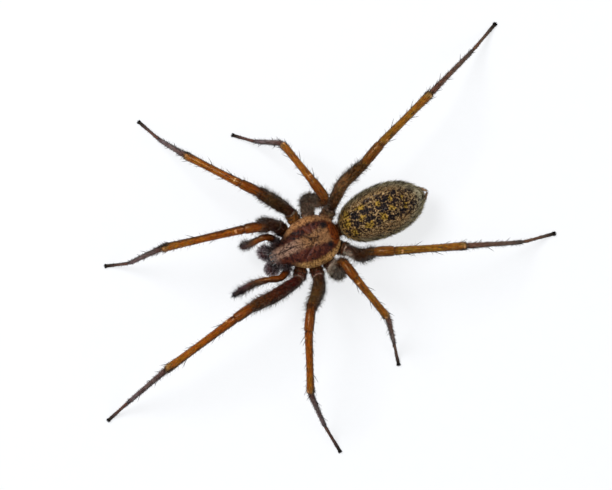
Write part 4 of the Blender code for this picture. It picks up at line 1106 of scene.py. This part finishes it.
def carapace_coat(skin, eyes, draw):
    """Short hair all over, hair on the face, cheeks and front edge, and a few tall bristles."""
    coat = Coat()
    top = skin.roots("shield_short", draw, lambda s: np.where(s.place[:, 2] > 4.1, 1.0, 0.1))
    inwards = unit(np.array((0.0, -2.1, 5.2)) - top.place) + np.array((0.0, 0.35, 0.0))
    coat.grow(top, draw, inwards)
    coat.grow(skin.roots("face", draw, head_share(-6.1, 4.3, eyes)), draw, (0.0, -0.7, 0.5))
    # Dense dark hair on the cheeks: real hair that also stands in for the shade beside the jaws.
    cheeks = skin.roots("cheek", draw, lambda s: (s.place[:, 1] < -5.3) & (s.limb[:, 1] > 0.8))
    outwards = cheeks.place * np.array((1.5, 0.0, 0.0)) + np.array((0.0, -0.7, -0.2))
    coat.grow(cheeks, draw, outwards)
    edge = skin.roots("head_edge", draw, head_share(-6.35, 4.5, eyes))
    outwards = edge.place * np.array((1.5, 0.0, 0.0)) + np.array((0.0, -0.8, 0.3))
    coat.grow(edge, draw, outwards, levels=4)
    coat.grow(skin.roots("shield_tall", draw, lambda s: s.place[:, 2] > 4.9), draw)
    return coat


def make_carapace(eyes, skin_finish, coat_finish):
    skin = carapace_skin(eyes)
    skin_piece("carapace_skin", [skin], skin_finish, "carapace", "carapace")
    carapace_coat(skin, eyes, hair_draw("carapace")).piece("carapace_coat", coat_finish, "carapace")


def eye_places():
    """Centre and radius of each eye in millimetres, read from its solid."""
    places = {}
    for side in ("right", "left"):
        for row in ("front_middle", "front_side", "rear_middle", "rear_side"):
            low, high = (np.array(corner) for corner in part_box(f"eye_{side}_{row}"))
            places[f"eye_{side}_{row}"] = ((0.5 * (low + high) - ORIGIN) / MM, 0.5 * (high - low).max() / MM)
    return places


def ball_skin(centre, radii, rows=24, sides=32):
    """An egg-like skin built from rings along Y."""
    wide, high = around(sides)
    rings = []
    for row in range(1, rows):
        a = math.pi * row / rows
        rings.append(columns(centre[0] + radii[0] * math.sin(a) * wide, centre[1] - radii[1] * math.cos(a),
                             centre[2] + radii[2] * math.sin(a) * high, row / rows, high, wide, row / rows))
    return Skin(rings)


def make_eyes(places, finish):
    for name, (centre, radius) in places.items():
        skin_piece(f"{name}_ball", [ball_skin(centre, (radius,) * 3, 20, 28)], finish, "eye", name)


def abdomen_skin():
    rows, sides = 130, 120
    wide, high = around(sides)
    front, rear = ABDOMEN_FRONT + COAT_DEPTH, ABDOMEN_REAR - COAT_DEPTH
    height = np.where(high > 0, ABDOMEN_UP, ABDOMEN_DOWN) - COAT_DEPTH
    rings = []
    for row in range(1, rows):
        part = 0.5 - 0.5 * math.cos(math.pi * row / rows)
        along = 2 * part - 1
        roundness = ABDOMEN_FRONT_ROUNDNESS if along < 0 else ABDOMEN_REAR_ROUNDNESS
        size = max(0.0, 1 - abs(along) ** roundness) ** (1 / roundness)
        size *= 1 + ABDOMEN_WIDER_BEHIND * along
        y = front + part * (rear - front)
        # Faint folds run across the back, and two rows of shallow pits mark the muscles.
        fold = 0.012 * np.sin(y * 7.0) * np.clip(high, 0, 1)
        x = ABDOMEN_SWING * part * part + (ABDOMEN_HALF_WIDTH - COAT_DEPTH) * size * wide
        z = ABDOMEN_MIDDLE - ABDOMEN_DROOP * part * part + (height * size + fold * size) * high
        for pit in ABDOMEN_PITS:
            near = ((np.abs(x + 0.1) - 0.42) / 0.12) ** 2 + ((y - pit) / 0.12) ** 2
            z = z - 0.05 * np.exp(-near) * (high > 0)
        rings.append(columns(x, y, z, part, high, wide, y))
    return Skin(rings)


def make_abdomen(skin_finish, coat_finish):
    """The abdomen, short hair that lies back over it, longer on its sides, and standing bristles."""
    skin = abdomen_skin()
    skin_piece("abdomen_skin", [skin], skin_finish, "abdomen", "abdomen")
    draw = hair_draw("abdomen")
    short = skin.roots("abdomen_short", draw, lambda s: curve(SHORT_HAIR_SHARE, s.limb[:, 1]))
    low = 1 - np.clip(short.limb[:, 1], 0, 1)
    coat = Coat()
    coat.grow(short, draw, short.ahead + np.array((0.0, 0.3, -0.12)),
              0.15 + 0.32 * low + 0.08 * short.limb[:, 0],
              [angle + 14.0 * low for angle in HAIR["abdomen_short"][3]])
    coat.piece("abdomen_coat", coat_finish, "abdomen")
    tall = skin.roots("abdomen_tall", draw,
                      lambda s: 0.4 + 0.6 * (1 - np.clip(s.limb[:, 1], 0, 1)) * (0.4 + s.limb[:, 0]))
    bristles = Coat()
    bristles.grow(tall, draw, tall.ahead + np.array((0.0, 0.4, 0.0)))
    bristles.piece("abdomen_bristles", coat_finish, "abdomen")


def make_waist(finish, hair):
    """The narrow stalk between the two halves of the body, with its two ringed ends."""
    course = rounded_course(WAIST_COURSE, 0.3)
    far = np.linspace(0.0, course[1][-1], 30)
    skin = tube_skin(course, far, 0.38 + 0.03 * np.cos(far * 9.0), np.zeros(30), 24)
    skin_piece("waist_skin", [skin], finish, "waist", "pedicel")
    draw = hair_draw("waist")
    coat = Coat()
    coat.grow(skin.roots("waist", draw), draw)
    coat.piece("waist_coat", hair, "waist")


def make_spinnerets(skin_finish, hair):
    mound = ball_skin(SPINNERET_MOUND, SPINNERET_MOUND_RADII)
    arms = [arm_skin(corners, SPINNERET_RADII, 0.3) for corners in SPINNERET_ARMS]
    skin_piece("spinnerets_skin", [mound, *arms], skin_finish, "spinneret", "spinnerets")
    draw = hair_draw("spinnerets")
    coat = Coat()
    for skin in (mound, *arms):
        spots = skin.roots("spinneret_mound" if skin is mound else "spinneret_arm", draw)
        coat.grow(spots, draw, spots.ahead + np.array((0.0, 0.4, 0.0)))
    coat.piece("spinnerets_coat", hair, "spinneret")


def jaw_skin(sign):
    table = np.array(JAW_ROWS)
    rows, top = 60, table[0, 0]
    wide, high = around(40)
    heights = np.linspace(top, table[-1, 0], rows)
    read = [curve(list(zip(-table[:, 0], table[:, k])), -heights) for k in (1, 2, 3, 4)]
    rings = []
    for k, (x, y, across, deep, z) in enumerate(zip(*read, heights)):
        rings.append(columns(sign * x + (across - COAT_DEPTH) * wide, y + (deep - COAT_DEPTH) * high, z,
                             k / rows, -high, wide, top - z))
    return Skin(rings)


def make_jaws(jaw_finish, fang_finish, hair):
    for side, sign in SIDES:
        skin = jaw_skin(sign)
        skin_piece(f"jaw_{side}_skin", [skin], jaw_finish, "jaw", f"chelicera_{side}")
        fang = arm_skin(mirrored(FANG_COURSE, sign), FANG_RADII, 0.3)
        skin_piece(f"fang_{side}", [fang], fang_finish, "jaw")
        draw = hair_draw("jaws", side == "left")
        spots = skin.roots("jaw", draw, lambda s: np.where(s.limb[:, 1] > -0.5, 1.0, 0.4))
        outside = np.clip(sign * spots.normal[:, 0], 0.0, 1.0)
        coat = Coat()
        coat.grow(spots, draw, np.array((0.3 * sign, -0.5, -1.0)), 1 + 0.4 * outside)
        coat.piece(f"jaw_{side}_coat", hair, "jaw")


def sternum_skin():
    front, rear = STERNUM_OUTLINE[0][0], STERNUM_OUTLINE[-1][0]
    middle = STERNUM_TOP - 0.3
    wide, high = around(48)
    rings = []
    for row in range(1, 60):
        part = 0.5 - 0.5 * math.cos(math.pi * row / 60)
        y = front + part * (rear - front)
        half = curve(STERNUM_OUTLINE, y) * min(1.0, (part / 0.04) ** 0.5, ((1 - part) / 0.04) ** 0.5)
        x = half * np.sign(wide) * np.abs(wide) ** 0.8
        drop = 0.13 * half / 1.3 * (1 - (x / 1.4) ** 2)
        low = middle - (middle - STERNUM_BOTTOM - 0.03 + drop) * np.abs(high) ** 0.55
        rings.append(columns(x, y, np.where(high > 0, middle + 0.25 * high, low), part, high, wide, y))
    return Skin(rings)


def labium_skin():
    wide, high = around(48)
    rows = [(-place, half) for place, half in LABIUM_ROWS]
    return Skin([columns(curve(rows, -y) * wide, y, LABIUM_HEIGHT + 0.17 * high, 0.0, high, wide, y)
                 for y in np.linspace(-4.95, -5.69, 20)])


def make_sternum(finish, hair):
    """A heart-shaped shield below the thorax, with the labium before it."""
    plate = sternum_skin()
    skin_piece("sternum_skin", [plate, labium_skin()], finish, "sternum", "sternum")
    draw = hair_draw("sternum")
    coat = Coat()
    coat.grow(plate.roots("sternum", draw, lambda s: np.where(s.normal[:, 2] < -0.2, 1.0, 0.1)), draw)
    coat.piece("sternum_coat", hair, "sternum")


def make_palp(side, sign, skin_finish, coat_finish, hair):
    """A slender feeler of five joints, and the maxilla at its root."""
    name = f"palp_{side}"
    course = rounded_course(PALPS[side], PALP_BEND)
    skin = limb_skin(course, course[2], PALP_RADII, (1.0,) * 5, 22)
    blade = arm_skin(mirrored(MAXILLA_COURSE, sign), MAXILLA_RADII, 0.1)
    skin_piece(f"{name}_skin", [skin], skin_finish, "palp", f"{name}_femur", f"{name}_tarsus")
    skin_piece(f"maxilla_{side}", [blade], skin_finish, "palp")
    draw = hair_draw("palps", side == "left")
    coat = Coat()
    flat = skin.roots("palp_flat", draw, by_part(PALP_HAIR_SHARE))
    steep = by_part(PALP_HAIR_LIFT)(flat)
    coat.grow(flat, draw, None, by_part(PALP_HAIR_LENGTH)(flat),
              [steep * part for part in HAIR["palp_flat"][3]])
    coat.grow(skin.roots("palp_tall", draw, by_part(PALP_BRISTLE_SHARE)), draw)
    coat.grow(skin.roots("palp_tip", draw, lambda s: s.limb[:, 0] > PALP_TUFT_START), draw)
    coat.piece(f"{name}_coat", coat_finish, "palp_tip")
    beard = Coat()
    root = skin.roots("palp_root", draw, by_part(PALP_BEARD_SHARE))
    for spots in (root, blade.roots("maxilla", draw)):
        beard.grow(spots, draw, (0.25 * sign, -1.0, 0.1))
    beard.piece(f"{name}_beard", hair, "palp")


def make_spider():
    eyes = eye_places()
    make_carapace(eyes.values(), shield_skin_finish(), shield_coat_finish())
    make_eyes(eyes, eye_finish())
    make_abdomen(abdomen_skin_finish(), abdomen_coat_finish())
    make_waist(plain_finish("waist_chitin", (70, 28, 10), (124, 60, 22), 0.4),
               hair_finish("rusty_hair", (60, 24, 8), (150, 92, 48)))
    brown_hair = hair_finish("brown_hair", (34, 24, 20), (126, 104, 80))
    make_spinnerets(plain_finish("spinneret_chitin", (98, 72, 50), (176, 142, 110), 0.5), brown_hair)
    jaw_hair = hair_finish("jaw_hair", (34, 22, 26), (218, 200, 206), 0.42, 0.62)
    make_jaws(plain_finish("jaw_chitin", (44, 26, 28), (80, 52, 52), 0.35),
              plain_finish("fang_horn", (14, 6, 5), (70, 22, 10), 0.18, 0.5), jaw_hair)
    make_sternum(plate_finish(), brown_hair)
    leg_skin = limb_skin_finish("leg_chitin", (FRONT_LEG_TONES, HIND_LEG_TONES))
    leg_hair = limb_coat_finish("leg_hair", (FRONT_LEG_TONES, HIND_LEG_TONES))
    palp_skin = limb_skin_finish("palp_chitin", (PALP_TONES,))
    palp_hair = limb_coat_finish("palp_hair", (PALP_TONES,))
    spine = plain_finish("spine_horn", (12, 9, 9), (46, 30, 24), 0.3)
    claw = plain_finish("claw_horn", (8, 6, 6), (30, 18, 14), 0.25)
    for side, sign in SIDES:
        make_palp(side, sign, palp_skin, palp_hair, jaw_hair)
        for pair in LEG_ROOTS:
            make_leg(side, sign, pair, leg_skin, leg_hair, spine, claw)


def make_studio():
    half = 0.5 * FLOOR_SIZE / MM
    corners = np.array(((-half, -half, 0.0), (half, -half, 0.0), (half, half, 0.0), (-half, half, 0.0)))
    mesh_piece("studio_floor", corners, [np.array([[0, 1, 2, 3]])], floor_finish(), {})
    world = bpy.data.worlds.new("studio_air")
    bpy.context.scene.world = world
    world.use_nodes = True
    world.node_tree.nodes["Background"].inputs["Color"].default_value = (0.96, 0.98, 1.0, 1.0)
    world.node_tree.nodes["Background"].inputs["Strength"].default_value = AIR_GLOW
    for lamp in LAMPS:
        add_lamp(*lamp)
    bpy.context.scene.view_settings.view_transform = "Standard"


def add_lamp(name, place, size, watts):
    """A square soft lamp above the floor, aimed at the spider. Place is right, up and high in the photo."""
    turn = math.radians(CAMERA_TURN)
    right = np.array((math.cos(turn), math.sin(turn), 0.0))
    up = np.array((-math.sin(turn), math.cos(turn), 0.0))
    spot = right * place[0] + up * place[1] + np.array((0.0, 0.0, place[2]))
    lamp = bpy.data.objects.new(name, bpy.data.lights.new(name, "AREA"))
    lamp.data.size = size
    lamp.data.energy = watts
    lamp.location = spot
    lamp.rotation_euler = (-Vector(spot)).to_track_quat("-Z", "Y").to_euler()
    bpy.context.scene.collection.objects.link(lamp)


def make_camera():
    data = bpy.data.cameras.new("photo_camera")
    data.sensor_width = SENSOR
    data.lens = SENSOR * CAMERA_HEIGHT * PIXELS_PER_MM / PHOTO_WIDTH
    data.clip_start = 0.005
    data.clip_end = 5.0
    camera = bpy.data.objects.new("photo_camera", data)
    camera.location = Vector((*CAMERA_SPOT, CAMERA_HEIGHT)) * MM + Vector(ORIGIN)
    camera.rotation_euler = (0.0, 0.0, math.radians(CAMERA_TURN))
    bpy.context.scene.collection.objects.link(camera)
    bpy.context.scene.camera = camera


make_spider()
make_studio()
make_camera()
